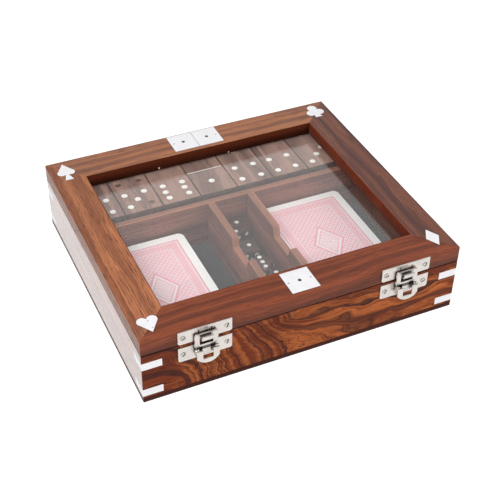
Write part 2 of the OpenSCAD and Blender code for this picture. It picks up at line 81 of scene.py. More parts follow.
# What each wood gives the grain group where it differs from the group's defaults, and three values of its own:
# pith, where the tree's axis passes in the board's coordinates; the turn that lays the grain along the board;
# and the specular level
TIMBER = {
    "Front Wall Rosewood": {
        "Light": (0.290, 0.081, 0.025), "Middle": (0.142, 0.031, 0.012), "Dark": (0.026, 0.010, 0.011),
        "Ring": 7, "Swirl": 34, "Ripple": 10, "Figure": 15.0, "Figure From": -84.0, "Figure To": 0.0,
        "Plain To": -64.0, "Vein From": 0.555, "Veins": 0.9, "Streaks": 1.2, "Pores": 0.35, "Lines": 0.7,
        "pith": (0, 52, 8), "specular": 0.03},
    "Back Wall Rosewood": {
        "Light": (0.240, 0.080, 0.028), "Middle": (0.125, 0.036, 0.015), "Swirl": 12, "Ripple": 2,
        "Vein From": 0.56, "Veins": 0.8, "Lines": 0.4, "pith": (-60, -70, 20)},
    "Left Wall Rosewood": {
        "Light": (0.260, 0.085, 0.035), "Middle": (0.170, 0.052, 0.024), "Swirl": 8, "Ripple": 1.5,
        "Veins": 0.5, "Streaks": 0.7, "pith": (80, 20, 14), "turn": 90, "specular": 0.5},
    "Right Wall Rosewood": {
        "Light": (0.220, 0.070, 0.026), "Middle": (0.115, 0.032, 0.015), "Swirl": 10, "Ripple": 2,
        "Vein From": 0.56, "Veins": 0.8, "Lines": 0.4, "pith": (-70, 35, 18), "turn": 90},
    "Bottom Rosewood": {
        "Light": (0.050, 0.015, 0.010), "Middle": (0.030, 0.010, 0.007), "Ring": 6, "Swirl": 5,
        "Vein From": 0.56, "Veins": 0.6, "Streaks": 0.7, "pith": (0, 0, 40), "specular": 0.03},
    "Front Rail Rosewood": {
        "Light": (0.180, 0.043, 0.018), "Middle": (0.115, 0.027, 0.012), "Ring": 6, "Swirl": 9,
        "Ripple": 1.6, "Veins": 0.45, "Streaks": 0.9, "Lines": 0.2, "pith": (20, 110, -16),
        "specular": 0.15},
    "Back Rail Rosewood": {
        "Light": (0.275, 0.098, 0.037), "Middle": (0.165, 0.058, 0.030), "Ripple": 1.2, "Veins": 0.5,
        "Streaks": 0.9, "pith": (-30, -45, -20), "specular": 0.35},
    "Left Rail Rosewood": {
        "Light": (0.300, 0.108, 0.046), "Middle": (0.195, 0.064, 0.028), "Swirl": 5, "Veins": 0.5,
        "Streaks": 1.25, "Pores": 0.6, "pith": (105, 30, -10), "turn": 90},
    "Right Rail Rosewood": {
        "Light": (0.140, 0.043, 0.022), "Middle": (0.078, 0.023, 0.015), "Ring": 5.5, "Swirl": 8,
        "Ripple": 1.6, "Vein From": 0.57, "Veins": 0.7, "Streaks": 1.0, "Lines": 0.4,
        "pith": (-105, 60, -24), "turn": 90, "specular": 0.3},
    "Long Divider Wood": {
        "Light": (0.235, 0.088, 0.060), "Middle": (0.142, 0.050, 0.037), "Ring": 6, "Pores": 0.3,
        "pith": (10, -30, -50)},
    "Short Divider Wood": {
        "Light": (0.300, 0.112, 0.080), "Middle": (0.190, 0.070, 0.052), "Ring": 6, "Pores": 0.3,
        "pith": (0, 30, -40), "turn": 90},
    "Domino Wood": {
        "Light": (0.333, 0.200, 0.160), "Middle": (0.215, 0.130, 0.110), "Ring": 6, "Ripple": 1.2,
        "Vein From": 0.58, "turn": 90},
    # darker end grain, which also stands for painted shade on the dominoes' ends and between the blocks
    "Domino End Grain And Shade": {
        "Light": (0.115, 0.063, 0.048), "Middle": (0.074, 0.041, 0.034), "Ring": 3, "Ripple": 1.2,
        "Vein From": 0.58, "Pores": 0.8, "turn": 90},
    "Dice Wood": {
        "Light": (0.070, 0.032, 0.024), "Middle": (0.040, 0.018, 0.014), "Ring": 3, "Swirl": 3,
        "Ripple": 0.6, "Streaks": 0.7, "Pores": 0.3},
}


# Reading the frame


def span(*nodes):
    """Lowest and highest corner of one or more CAD nodes, in millimetres."""
    corners = np.array([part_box(node) for node in nodes]) / MM
    return corners[:, 0].min(0), corners[:, 1].max(0)


def middle(*nodes):
    """Centre of one or more CAD nodes, in millimetres."""
    low, high = span(*nodes)
    return (low + high) / 2


def points_of(node):
    """Points of a CAD node, in millimetres."""
    return np.array([v.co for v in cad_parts[node].data.vertices]) / MM


def mesh_points(mesh):
    """Points of a mesh, in millimetres."""
    flat = np.empty(len(mesh.vertices) * 3, np.float32)
    mesh.vertices.foreach_get("co", flat)
    return flat.reshape(-1, 3) / MM


# Surfaces


def grid_quads(rows, columns, closed=False):
    """Quads of a grid whose points are numbered row by row; closed joins its last column to its first."""
    r, c = np.meshgrid(np.arange(rows - 1), np.arange(columns if closed else columns - 1), indexing="ij")
    first, second, across = r * columns, (r + 1) * columns, (c + 1) % columns
    return np.stack([first + c, first + across, second + across, second + c], -1).reshape(-1, 4)


def patch(points, quads, look=0):
    """One patch of a skin: its points, its quads, and the number of the material that it wears."""
    return np.asarray(points, float).reshape(-1, 3), np.asarray(quads), look


def moved(patches, offset):
    """The same patches, shifted by offset."""
    return [(points + np.asarray(offset), quads, look) for points, quads, look in patches]


def turned(points, angle):
    """Points turned about Z."""
    x, y, z = points.T
    cosine, sine = math.cos(angle), math.sin(angle)
    return np.stack([x * cosine - y * sine, x * sine + y * cosine, z], -1)


def split(part, test, look):
    """A patch in two. The quads whose middles pass the test wear another material."""
    points, quads, own = part
    chosen = test(points[quads].mean(1))
    return (points, quads[chosen], look), (points, quads[~chosen], own)


def skin(name, patches, materials, gap=0.0005):
    """A mesh object from patches. Points closer than gap millimetres are one point, so seams and poles
    close."""
    starts = np.cumsum([0] + [len(points) for points, _, _ in patches[:-1]])
    points = np.concatenate([points for points, _, _ in patches])
    quads = np.concatenate([quads + start for (_, quads, _), start in zip(patches, starts)])
    looks = np.concatenate([np.full(len(quads), look) for _, quads, look in patches])
    mesh = bpy.data.meshes.new(name)
    mesh.vertices.add(len(points))
    mesh.vertices.foreach_set("co", (points * MM).astype(np.float32).ravel())
    mesh.loops.add(quads.size)
    mesh.loops.foreach_set("vertex_index", quads.astype(np.int32).ravel())
    mesh.polygons.add(len(quads))
    mesh.polygons.foreach_set("loop_start", np.arange(0, quads.size, 4, dtype=np.int32))
    mesh.polygons.foreach_set("material_index", looks.astype(np.int32))
    mesh.update(calc_edges=True)
    work = bmesh.new()
    work.from_mesh(mesh)
    bmesh.ops.remove_doubles(work, verts=work.verts, dist=gap * MM)
    bmesh.ops.recalc_face_normals(work, faces=work.faces)
    work.to_mesh(mesh)
    work.free()
    return dress(bpy.data.objects.new(name, mesh), materials)


def dress(piece, materials):
    """Puts a piece in the scene with its materials, smooth except along crisp edges."""
    if not piece.data.polygons:
        raise RuntimeError(piece.name + " has no faces")
    for material in materials:
        piece.data.materials.append(material)
    piece.data.polygons.foreach_set("use_smooth", np.ones(len(piece.data.polygons), bool))
    piece.data.set_sharp_from_angle(angle=CRISP)
    bpy.context.scene.collection.objects.link(piece)
    return piece


def settle(piece, body, slot, *nodes):
    """Says which body a piece rides on and which CAD nodes it stands for, and hides those; slot is not used.
    """
    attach(piece, body)
    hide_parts(*nodes)


def refinish(node, look):
    """Gives a CAD node that stays in view its material."""
    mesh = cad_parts[node].data
    mesh.materials.clear()
    mesh.materials.append(look)


def edge_lines(half, radius, flat_lines, steps):
    """Grid lines across one side of a rounded box: the flat part's own lines, and beyond them lines at equal
    angles of the rounding, which lie at radius times the tangent of the angle."""
    turn = radius * np.tan(np.radians(45) * np.arange(1, steps + 1) / steps)
    flat = half - radius
    return np.concatenate([-flat - turn[::-1], flat_lines, flat + turn])


def cell_lines(edges):
    """Grid lines of a row of cells, each of which is cut into equal strips."""
    strips = [np.linspace(a, b, CUTS, endpoint=False) for a, b in zip(edges, edges[1:])]
    return np.concatenate(strips + [[edges[-1]]])


def pip_cell(lines_u, lines_v, pip):
    """A pip in its cell. Rings run from the cell's outline to a circle, and on inwards as a dish: at a
    share s of the pip's radius the dish is depth times (1 - s squared) deep. Returns the flat ring and the
    dish."""
    centre, radius, depth = np.array(pip[:2]), pip[2], pip[3]
    left, right, low, high = lines_u[0], lines_u[-1], lines_v[0], lines_v[-1]
    outline = np.concatenate([
        np.stack([lines_u[:-1], np.full(len(lines_u) - 1, low)], -1),
        np.stack([np.full(len(lines_v) - 1, right), lines_v[:-1]], -1),
        np.stack([lines_u[:0:-1], np.full(len(lines_u) - 1, high)], -1),
        np.stack([np.full(len(lines_v) - 1, left), lines_v[:0:-1]], -1),
    ])
    ray = outline - centre
    ray /= np.linalg.norm(ray, axis=1, keepdims=True)
    blend = np.linspace(0, 1, 3)[:, None, None]
    flat = outline * (1 - blend) + (centre + radius * ray) * blend
    flat = np.concatenate([flat, np.zeros((*flat.shape[:2], 1))], -1)
    share = np.array([1, 0.97, 0.85, 0.6, 0.3, 0])[:, None, None]
    fall = np.where(share == 1, 0, -depth * (0.25 + 0.75 * (1 - share**2)))
    dish = np.concatenate([centre + radius * share * ray, np.broadcast_to(fall, (6, len(ray), 1))], -1)
    return [patch(part, grid_quads(len(part), len(ray), True)[:, ::-1], look)
            for part, look in ((flat, 0), (dish, 1))]


def pip_cells(count, spread, radius, depth, centre=0.0, first=0, random=None, stray=0.35):
    """The cells that hold a number's pips, in three by three cells from the first row on, and where each
    pip stands. With a random source the pips stray from the middle of their cells."""
    cells = []
    for cell in PIPS[count]:
        row, column = divmod(cell, 3)
        shift = random.uniform(-stray, stray, 2) if random else (0, 0)
        u, v = column * CUTS, (first + row) * CUTS
        pip = ((column - 1) * spread + shift[0], (row - 1) * spread + centre + shift[1], radius, depth)
        cells.append(((u, u + CUTS, v, v + CUTS), pip))
    return cells


def box_face(half, radius, lines, axis, sign, cells, steps):
    """One face of a rounded box. A point of the sharp box is clipped to a box one radius smaller all
    round, and set one radius away from there along its offset. Cells, given by their first and last line
    each way, hold pips."""
    u, v = (axis + 1) % 3, (axis + 2) % 3
    lines_u = edge_lines(half[u], radius, lines[u], steps)
    lines_v = edge_lines(half[v], radius, lines[v], steps)
    grid_u, grid_v = np.meshgrid(lines_u, lines_v, indexing="ij")
    flat = np.stack([grid_u, grid_v, np.zeros_like(grid_u)], -1)
    quads = grid_quads(len(lines_u), len(lines_v))[:, ::-1]
    row, column = np.divmod(quads.min(1), len(lines_v))
    kept = np.ones(len(quads), bool)
    parts = []
    for where, pip in cells:
        u0, u1, v0, v1 = (line + steps for line in where)
        kept &= ~((row >= u0) & (row < u1) & (column >= v0) & (column < v1))
        parts += pip_cell(lines_u[u0:u1 + 1], lines_v[v0:v1 + 1], pip)
    made = []
    for points, faces, look in parts + [patch(flat, quads[kept])]:
        sharp = np.empty_like(points)
        sharp[:, u] = points[:, 0]
        sharp[:, v] = points[:, 1] * sign
        sharp[:, axis] = half[axis] * sign
        inner = np.clip(sharp, -(half - radius), half - radius)
        offset = sharp - inner
        place = inner + radius * offset / np.linalg.norm(offset, axis=1, keepdims=True)
        place[:, axis] += points[:, 2] * sign
        made.append((place, faces, look))
    return made


def rounded_box(half, radius, lines=(None, None, None), cells=None, steps=2):
    """All six faces of a rounded box about the origin. Lines are the flat parts' grid lines for x, y and
    z, and cells has the pip cells of each face by axis and sign."""
    half = np.asarray(half, float)
    lines = [np.array([-1, 1]) * (size - radius) if own is None else own for size, own in zip(half, lines)]
    parts = []
    for axis in range(3):
        for sign in (-1, 1):
            parts += box_face(half, radius, lines, axis, sign, (cells or {}).get((axis, sign), ()), steps)
    return parts


def rounded_plan(width, length, radius, steps=5):
    """Outline of a rectangle with round corners, anticlockwise about the origin."""
    turn = np.radians(np.linspace(0, 90, steps))
    corner = np.stack([np.cos(turn), np.sin(turn)], -1) * radius
    quarter = np.array([[[1, 0], [0, 1]], [[0, 1], [-1, 0]], [[-1, 0], [0, -1]], [[0, -1], [1, 0]]])
    places = np.array([[1, 1], [-1, 1], [-1, -1], [1, -1]]) * [width / 2 - radius, length / 2 - radius]
    return np.concatenate([corner @ turned + place for turned, place in zip(quarter, places)])


def sheet_of(plan, foot, top):
    """A closed flat body with that plan from foot to top, whose upper face wears the second material."""
    steps = np.array([[0, foot], [1, foot], [1, top], [0, top]], float)
    heights = np.broadcast_to(steps[:, None, 1:], (4, len(plan), 1))
    points = np.concatenate([plan[None] * steps[:, :1, None], heights], -1)
    quads = grid_quads(4, len(plan), True)
    return [patch(points, quads[:2 * len(plan)]), patch(points, quads[2 * len(plan):], 1)]


# CAD parts with their arrises eased


def envelope(low, high, radius):
    """A rounded box from low to high that trims a group of parts, so its outer edges are rounded as one."""
    half = (high - low) / 2
    return skin("envelope", moved(rounded_box(half, radius), low + half), [])


def joined(mesh, angle):
    """A copy of a mesh with its loose triangles joined, and faces that differ by less than the angle made
    one."""
    work = bmesh.new()
    work.from_mesh(mesh)
    bmesh.ops.remove_doubles(work, verts=work.verts, dist=MERGE)
    bmesh.ops.dissolve_limit(work, angle_limit=math.radians(angle), verts=work.verts, edges=work.edges)
    copy = bpy.data.meshes.new("joined")
    work.to_mesh(copy)
    work.free()
    return copy


def trimmed(mesh, trim):
    """The part of a mesh inside the trim object, cut exactly."""
    holder = bpy.data.objects.new("trimmed", mesh)
    bpy.context.scene.collection.objects.link(holder)
    cut = holder.modifiers.new("Trim", "BOOLEAN")
    cut.operation, cut.solver, cut.object = "INTERSECT", "EXACT", trim
    result = bpy.data.meshes.new_from_object(holder.evaluated_get(bpy.context.evaluated_depsgraph_get()))
    bpy.data.objects.remove(holder)
    return joined(result, 0.5)


def eased(node, width, material, trim=None, shortest=2.0, steps=2, rim=None):
    """A piece from a CAD node: trimmed to the envelope, with a small bevel along each crisp edge longer
    than shortest. The bevels wear the rim material where there is one."""
    mesh = joined(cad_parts[node].data, 1)
    if trim:
        mesh = trimmed(mesh, trim)
    work = bmesh.new()
    work.from_mesh(mesh)
    weight = work.edges.layers.float.new("bevel_weight_edge")
    for edge in work.edges:
        crisp = edge.is_manifold and edge.calc_face_angle() > math.radians(30)
        edge[weight] = float(crisp and edge.calc_length() > shortest * MM)
    work.to_mesh(mesh)
    work.free()
    mesh.name = node + "_piece"
    piece = dress(bpy.data.objects.new(node + "_piece", mesh), [material, rim] if rim else [material])
    bevel = piece.modifiers.new("Eased arrises", "BEVEL")
    bevel.limit_method, bevel.width, bevel.segments = "WEIGHT", width * MM, steps
    bevel.use_clamp_overlap = False
    bevel.material = 1 if rim else -1
    normals = piece.modifiers.new("Even shading", "WEIGHTED_NORMAL")
    normals.keep_sharp = True
    return piece


def ease_group(looks, width, trim, body, slot, shortest=2.0):
    """Settles a piece for each CAD node and its look, all trimmed to one envelope."""
    for node, look in looks.items():
        settle(eased(node, width, look, trim, shortest), body, slot, node)
    bpy.data.objects.remove(trim)


# Node trees


class Field:
    """A value that changes over a surface, held by one output socket, with the signs of arithmetic."""

    def __init__(self, net, socket):
        self.net, self.socket = net, socket

    def math(self, operation, *others):
        node = self.net.tree.nodes.new("ShaderNodeMath")
        node.operation = operation
        for place, value in zip(node.inputs, (self, *others)):
            self.net.feed(place, value)
        return Field(self.net, node.outputs[0])

    def __rsub__(self, other):
        return (self * -1).math("ADD", other)

    __add__ = __radd__ = partialmethod(math, "ADD")
    __sub__ = partialmethod(math, "SUBTRACT")
    __mul__ = __rmul__ = partialmethod(math, "MULTIPLY")
    __truediv__ = partialmethod(math, "DIVIDE")
    size = partialmethod(math, "ABSOLUTE")
    least = partialmethod(math, "MINIMUM")
    most = partialmethod(math, "MAXIMUM")

    def repeat(self, pitch):
        """The signed distance to the middle of the nearest of the cells that repeat at that pitch."""
        return self.math("WRAP", pitch / 2, -pitch / 2)

    def smooth(self, low, high):
        node = self.net.add("ShaderNodeMapRange", {0: self, 1: low, 2: high})
        node.interpolation_type = "SMOOTHSTEP"
        return Field(self.net, node.outputs[0])


class Net:
    """A node tree with short ways to add nodes and to feed them."""

    def __init__(self, tree):
        self.tree = tree

    def feed(self, socket, value):
        if isinstance(value, Field):
            value = value.socket
        if isinstance(value, bpy.types.NodeSocket):
            self.tree.links.new(value, socket)
        elif socket.type == "RGBA" and len(value) == 3:
            socket.default_value = (*value, 1)
        else:
            socket.default_value = value

    def add(self, kind, inputs=None, **settings):
        node = self.tree.nodes.new(kind)
        for name, value in settings.items():
            setattr(node, name, value)
        for name, value in (inputs or {}).items():
            self.feed(node.inputs[name], value)
        return node

    def field(self, kind, inputs=None, output=0, **settings):
        return Field(self, self.add(kind, inputs, **settings).outputs[output])

    def vector(self, operation, first, second=None, output=0):
        inputs = {0: first} if second is None else {0: first, 1: second}
        return self.field("ShaderNodeVectorMath", inputs, output, operation=operation)

    def noise(self, vector, stretch, detail=2.0, rough=0.5, output=0):
        """Noise at a place that is first stretched by three factors."""
        place = self.vector("MULTIPLY", vector, stretch)
        inputs = {"Vector": place, "Scale": 1.0, "Detail": detail, "Roughness": rough}
        return self.field("ShaderNodeTexNoise", inputs, output)

    def rings(self, value, detail=2.0, rough=0.5):
        """Noise along one value."""
        inputs = {"W": value, "Scale": 1.0, "Detail": detail, "Roughness": rough}
        return self.field("ShaderNodeTexNoise", inputs, noise_dimensions="1D")

    def mix(self, share, first, second, blend="MIX"):
        node = self.add("ShaderNodeMix", data_type="RGBA", blend_type=blend, clamp_factor=True)
        for place, value in ((0, share), (6, first), (7, second)):
            self.feed(node.inputs[place], value)
        return Field(self, node.outputs[2])

    def shaded(self, colour, shade):
        """A colour times a value."""
        grey = self.field("ShaderNodeCombineColor", {0: shade, 1: shade, 2: shade})
        return self.mix(1.0, colour, grey, "MULTIPLY")

    def parts(self, vector):
        return [Field(self, out) for out in self.add("ShaderNodeSeparateXYZ", {0: vector}).outputs]


def effect(name, inputs, outputs=("Mask",)):
    """Turns a function that builds nodes into one that places them as a shader node group, which is made
    once. An input's default tells its kind: a number, a vector of three or a colour of four. Only Color
    puts out a colour."""

    def wrap(build):
        def tree():
            if name in bpy.data.node_groups:
                return bpy.data.node_groups[name]
            made = bpy.data.node_groups.new(name, "ShaderNodeTree")
            for title, default in inputs.items():
                kind = {0: "Float", 3: "Vector", 4: "Color"}[np.size(default) if np.ndim(default) else 0]
                socket = made.interface.new_socket(title, in_out="INPUT", socket_type="NodeSocket" + kind)
                socket.default_value = default
            for title in outputs:
                kind = "Color" if title == "Color" else "Float"
                made.interface.new_socket(title, in_out="OUTPUT", socket_type="NodeSocket" + kind)
            net = Net(made)
            entry, leave = net.add("NodeGroupInput"), net.add("NodeGroupOutput")
            values = build(net, {title: Field(net, entry.outputs[title]) for title in inputs})
            for title, value in zip(outputs, values):
                net.feed(leave.inputs[title], value)
            return made

        def place(net, given):
            node = net.add("ShaderNodeGroup", given, node_tree=tree())
            return [Field(net, out) for out in node.outputs]

        return place

    return wrap


def emptied(owner):
    """The node tree of a material or a world, without its nodes."""
    owner.use_nodes = True
    owner.node_tree.nodes.clear()
    return Net(owner.node_tree)


def material(name):
    """A new material: its net and its Principled shader, already joined to the output."""
    made = bpy.data.materials.new(name)
    net = emptied(made)
    shader = net.add("ShaderNodeBsdfPrincipled")
    net.add("ShaderNodeOutputMaterial", {"Surface": shader.outputs[0]})
    return made, net, shader


def feed_all(net, shader, **values):
    """Feeds a shader's sockets, which are named with _ for each space."""
    for name, value in values.items():
        net.feed(shader.inputs[name.replace("_", " ")], value)


def place_mm(net, location=(0, 0, 0), turn=0.0, attribute=None):
    """Object coordinates in millimetres, or a piece's own vector attribute, shifted and then turned about
    Z."""
    if attribute:
        source = net.add("ShaderNodeAttribute", attribute_name=attribute).outputs["Vector"]
    else:
        source = net.add("ShaderNodeTexCoord").outputs["Object"]
    return net.field("ShaderNodeMapping", {"Vector": source, "Location": location, "Scale": (1 / MM,) * 3,
                                           "Rotation": (0, 0, math.radians(turn))})


def bump(net, height, depth):
    """A normal from a height that runs from 0 to 1 over that depth in millimetres."""
    return net.field("ShaderNodeBump", {"Height": height, "Distance": depth * MM, "Strength": 1.0})


@effect("Rosewood Grain", {
    "Vector": (0, 0, 0), "Light": (0.50, 0.165, 0.040, 1), "Middle": (0.235, 0.068, 0.026, 1),
    "Dark": (0.030, 0.010, 0.008, 1), "Ring": 5.0, "Swirl": 6.0, "Ripple": 1.0,
    "Figure": 0.0, "Figure From": 0.0, "Figure To": 1.0, "Plain To": -300.0,
    "Vein From": 0.6, "Veins": 0.4, "Streaks": 0.8, "Pores": 0.4, "Lines": 0.0,
}, ("Color", "Roughness", "Height"))
def grain(net, given):
    """Rosewood. The tree's growth rings are lines of equal distance from a long axis along X. Slow noise
    pushes that distance about, which draws flames and swirls, and a rise along X between two places turns
    the rings across the grain there. Finer noise gives dark veins, thin contour lines, streaks, fibres and
    pores."""
    place = given["Vector"]
    half = (-0.5, -0.5, -0.5)
    slow = net.vector("ADD", net.noise(place, (0.012, 0.030, 0.030), 1.0, output=1), half)
    quick = net.vector("ADD", net.noise(place, (0.05, 0.12, 0.12), 1.0, output=1), half)
    x, y, z = net.parts(place)
    _, slow_y, slow_z = net.parts(slow)
    _, quick_y, quick_z = net.parts(quick)
    y = y + slow_y * given["Swirl"] + quick_y * given["Ripple"]
    z = z + slow_z * given["Swirl"] + quick_z * given["Ripple"]
    ring = (y * y + z * z).math("SQRT") / given["Ring"]
    ring = ring + x.smooth(given["Figure From"], given["Figure To"]) * given["Figure"]
    along = net.field("ShaderNodeCombineXYZ", {0: x, 1: y, 2: z})
    bands = net.rings(ring)
    veins = net.rings(ring * 1.1 + 7.3)
    years = net.rings(ring * 5.5, 3.0, 0.6)
    thin = net.rings(ring * 2.4 + 3.1, 1.0)
    streaks = net.noise(along, (0.03, 1.5, 1.5), 3.0, 0.7)
    fibres = net.noise(place, (0.09, 3.0, 3.0), 2.0, 0.6)
    pores = net.noise(along, (0.11, 1.9, 1.9), 1.0).smooth(0.58, 0.68)
    clouds = net.noise(place, (0.022, 0.07, 0.07))
    plain = 1 - x.smooth(given["Plain To"] - 22, given["Plain To"])
    tone = bands + (streaks - 0.5) * 0.4 + (clouds - 0.5) * 0.5 - plain * 0.22
    colour = net.mix(tone.smooth(0.36, 0.62), given["Middle"], given["Light"])
    gloom = (1 - clouds.smooth(0.34, 0.56)) * 0.3
    vein = veins.smooth(given["Vein From"], given["Vein From"] + 0.07)
    vein = vein * (0.4 + streaks.smooth(0.35, 0.6) * 0.6)
    colour = net.mix(vein.most(gloom) * given["Veins"], colour, given["Dark"])
    contour = (1 - (thin - 0.5).size().smooth(0.004, 0.045)) * (0.25 + clouds.smooth(0.40, 0.58) * 0.75)
    colour = net.mix(contour * given["Lines"], colour, given["Dark"])
    fine = (streaks - 0.5) * 1.1 + (fibres - 0.5) * 0.6 + (years - 0.5) * 0.7
    colour = net.shaded(colour, 1.0 + fine * given["Streaks"])
    colour = net.mix(pores * given["Pores"], colour, given["Dark"])
    return colour, 0.34 + (0.5 - streaks) * 0.25 + pores * 0.2, fibres * 0.35 + (1 - pores) * 0.65


@effect("Filler Spot", {"Vector": (0, 0, 0), "Place": (0, 0, 0), "Radius": 0.5})
def spot(net, given):
    """A small round spot: 1 inside a radius of a place, fading to 0 just outside it."""
    apart = net.vector("DISTANCE", given["Vector"], given["Place"], 1)
    return [1 - apart.smooth(given["Radius"] * 0.8, given["Radius"] * 1.15)]


@effect("Shade Rectangle", {"Vector": (0, 0, 0), "Offset": (0, 0, 0), "Half Width": 75.0, "Half Depth": 63.0})
def shade_rectangle(net, given):
    """A rectangle seen from above: 1 inside it, fading to 0 within half a millimetre outside."""
    x, y, _ = net.parts(net.vector("ADD", given["Vector"], given["Offset"]))
    beyond = (x.size() - given["Half Width"]).most(y.size() - given["Half Depth"])
    return [1 - beyond.smooth(0.15, 0.5)]


@effect("Recess Painted Shade", {"Vector": (0, 0, 0), "Middle": (0, 0, 0), "Half Size": (1, 1, 1)})
def painted_recess_shade(net, given):
    """Painted shade in a recess: 1 inside a box given by its middle and half size, fading out at its faces."""
    reach = net.vector("ABSOLUTE", net.vector("SUBTRACT", given["Vector"], given["Middle"]))
    x, y, z = net.parts(net.vector("SUBTRACT", reach, given["Half Size"]))
    return [1 - x.most(y).most(z).smooth(-0.15, 0.15)]


@effect("Handled Metal", {"Vector": (0, 0, 0), "Base": (0.8, 0.8, 0.8, 1), "Roughness": 0.3, "Dulling": 0.2},
        ("Color", "Roughness", "Height"))
def handled(net, given):
    """Handled sheet metal: long fine scratches one way, a few the other way, and cloudy dulling."""
    place = given["Vector"]
    along = net.noise(place, (0.25, 7.0, 7.0))
    across = net.noise(place, (5.0, 0.6, 5.0), 1.0).smooth(0.62, 0.72)
    cloud = net.noise(place, (0.16, 0.16, 0.16), 3.0, 0.6)
    shade = 0.90 + (cloud - 0.5) * given["Dulling"] + (along - 0.5) * 0.12
    rough = given["Roughness"] + (cloud - 0.5) * 0.35 + across * 0.08
    return net.shaded(given["Base"], shade), rough, along * 0.7 + (1 - across) * 0.3


def rectangle(low, high, inset=0.0):
    """The shade rectangle group's inputs for a rectangle that lies within the box from low to high."""
    half = (high - low) / 2 - inset
    return {"Offset": (0, -(low[1] + high[1]) / 2, 0), "Half Width": half[0], "Half Depth": half[1]}


def wood(name, coat=0.0, spots=(), opening=None, seam_shade=None, crown=None, attribute=None):
    """A rosewood material with a row of the timber table. Spots are pale filler dots as x, y, z and
    radius. Opening has the lid's opening, the share of painted shade on its walls, and the painted shade's
    tone low and high on them. Seam has the rectangle that lies within the painted shade line between case
    and lid, and its height. Crown is a paler tone painted as a highlight on tops, shown where the piece's
    own crown value is 1."""
    board = {"pith": (0, 0, 0), "turn": 0, "specular": 0.2, **TIMBER[name]}
    pith, turn, specular = (board.pop(key) for key in ("pith", "turn", "specular"))
    made, net, shader = material(name)
    colour, rough, height = grain(net, {"Vector": place_mm(net, pith, turn, attribute), **board})
    place = place_mm(net)
    _, _, level = net.parts(place)
    # painted shade on the walls of the lid's opening, darker low down by the glass
    if opening:
        within, share, low, high = opening
        mask, = shade_rectangle(net, {"Vector": place, **within})
        opening_shade = net.mix(level.smooth(OPENING_SHADE_LOW, OPENING_SHADE_HIGH), low, high)
        colour = net.mix(mask * share, colour, opening_shade)
        specular = (1 - mask) * specular
    for x, y, z, radius in spots:
        mask, = spot(net, {"Vector": place, "Place": (x, y, z), "Radius": radius})
        colour = net.mix(mask, colour, FILLER)
    # a line of painted shade where case and lid meet
    if seam_shade:
        mask, = shade_rectangle(net, {"Vector": place, **seam_shade[0]})
        line = (1 - (level - seam_shade[1]).size().smooth(0.25, 0.75)) * (1 - mask)
        colour = net.mix(line * 0.8, colour, SEAM_SHADE)
    # a paler tone painted as a highlight on tops
    if crown:
        highlight_share = net.field("ShaderNodeAttribute", output=2, attribute_name="crown")
        colour = net.mix(highlight_share * 0.6, colour, crown)
    feed_all(net, shader, Base_Color=colour, Roughness=rough, Normal=bump(net, height, 0.03),
             Specular_IOR_Level=specular, Coat_Weight=coat, Coat_Roughness=0.15)
    return made


def metal(name, base, roughness=0.3, dulling=0.25, metallic=1.0, spots=(), shade_boxes=()):
    """A handled metal material. Spots are the grey heads of nails filed flush, as x, y, z and radius, and
    the shade boxes are where shade is painted, as middle, half size and how dark."""
    made, net, shader = material(name)
    place = place_mm(net)
    colour, rough, height = handled(net, {"Vector": place, "Base": base, "Roughness": roughness,
                                          "Dulling": dulling})
    for x, y, z, radius in spots:
        mask, = spot(net, {"Vector": place, "Place": (x, y, z), "Radius": radius})
        colour = net.mix(mask, colour, NAIL_GREY)
    # shade painted into the latch's recesses, as dark as each box's share
    for centre, half, share in shade_boxes:
        mask, = painted_recess_shade(net, {"Vector": place, "Middle": centre, "Half Size": half})
        colour = net.mix(mask * share, colour, PAINTED_SHADE)
    feed_all(net, shader, Base_Color=colour, Roughness=rough, Metallic=metallic,
             Normal=bump(net, height, 0.012))
    return made


def toned(colour, factor):
    """A colour times a factor."""
    return tuple(factor * part for part in colour)


def paint(name, base, roughness):
    """Thick paint in a drilled pip, uneven over fractions of a millimetre."""
    made, net, shader = material(name)
    blotch = net.noise(place_mm(net), (1.3, 1.3, 1.3), 3.0, 0.6)
    colour = net.mix(blotch.smooth(0.3, 0.7), toned(base, 0.86), base)
    feed_all(net, shader, Base_Color=colour, Roughness=roughness + (blotch - 0.5) * 0.2,
             Normal=bump(net, blotch, 0.05))
    return made


# Settings


class CompendiumTimber(bpy.types.PropertyGroup):
    """How the wooden parts are finished."""

    arris: FloatProperty(name="Arris", description="Rounding of the box's outer edges, in millimetres",
                         default=0.6, min=0.2, max=1.5)
    joint: FloatProperty(name="Joint", description="Bevel along mitres and pockets, in millimetres",
                         default=0.12, min=0.05, max=0.3)


class CompendiumMetal(bpy.types.PropertyGroup):
    """Colours of the metal parts."""

    nickel: FloatVectorProperty(name="Nickel", description="Latches and hinges", subtype="COLOR", size=3,
                                default=(0.63, 0.59, 0.555), min=0, max=1)
    inlay: FloatVectorProperty(name="Inlay", description="Suits, plates and corner strips", subtype="COLOR",
                               size=3, default=(0.86, 0.85, 0.87), min=0, max=1)


class CompendiumContents(bpy.types.PropertyGroup):
    """What lies in the box."""

    cards: IntProperty(name="Cards", description="Cards in each pack", default=54, min=10, max=60)
    card_red: FloatVectorProperty(name="Card Red", description="Printing ink of the card backs",
                                  subtype="COLOR", size=3, default=(0.82, 0.17, 0.28), min=0, max=1)
    felt: FloatVectorProperty(name="Felt", description="Colour of the linings", subtype="COLOR", size=3,
                              default=(0.022, 0.022, 0.026), min=0, max=1)
    seed: IntProperty(name="Seed", description="Seed of the small offsets between cards and pips", default=7)


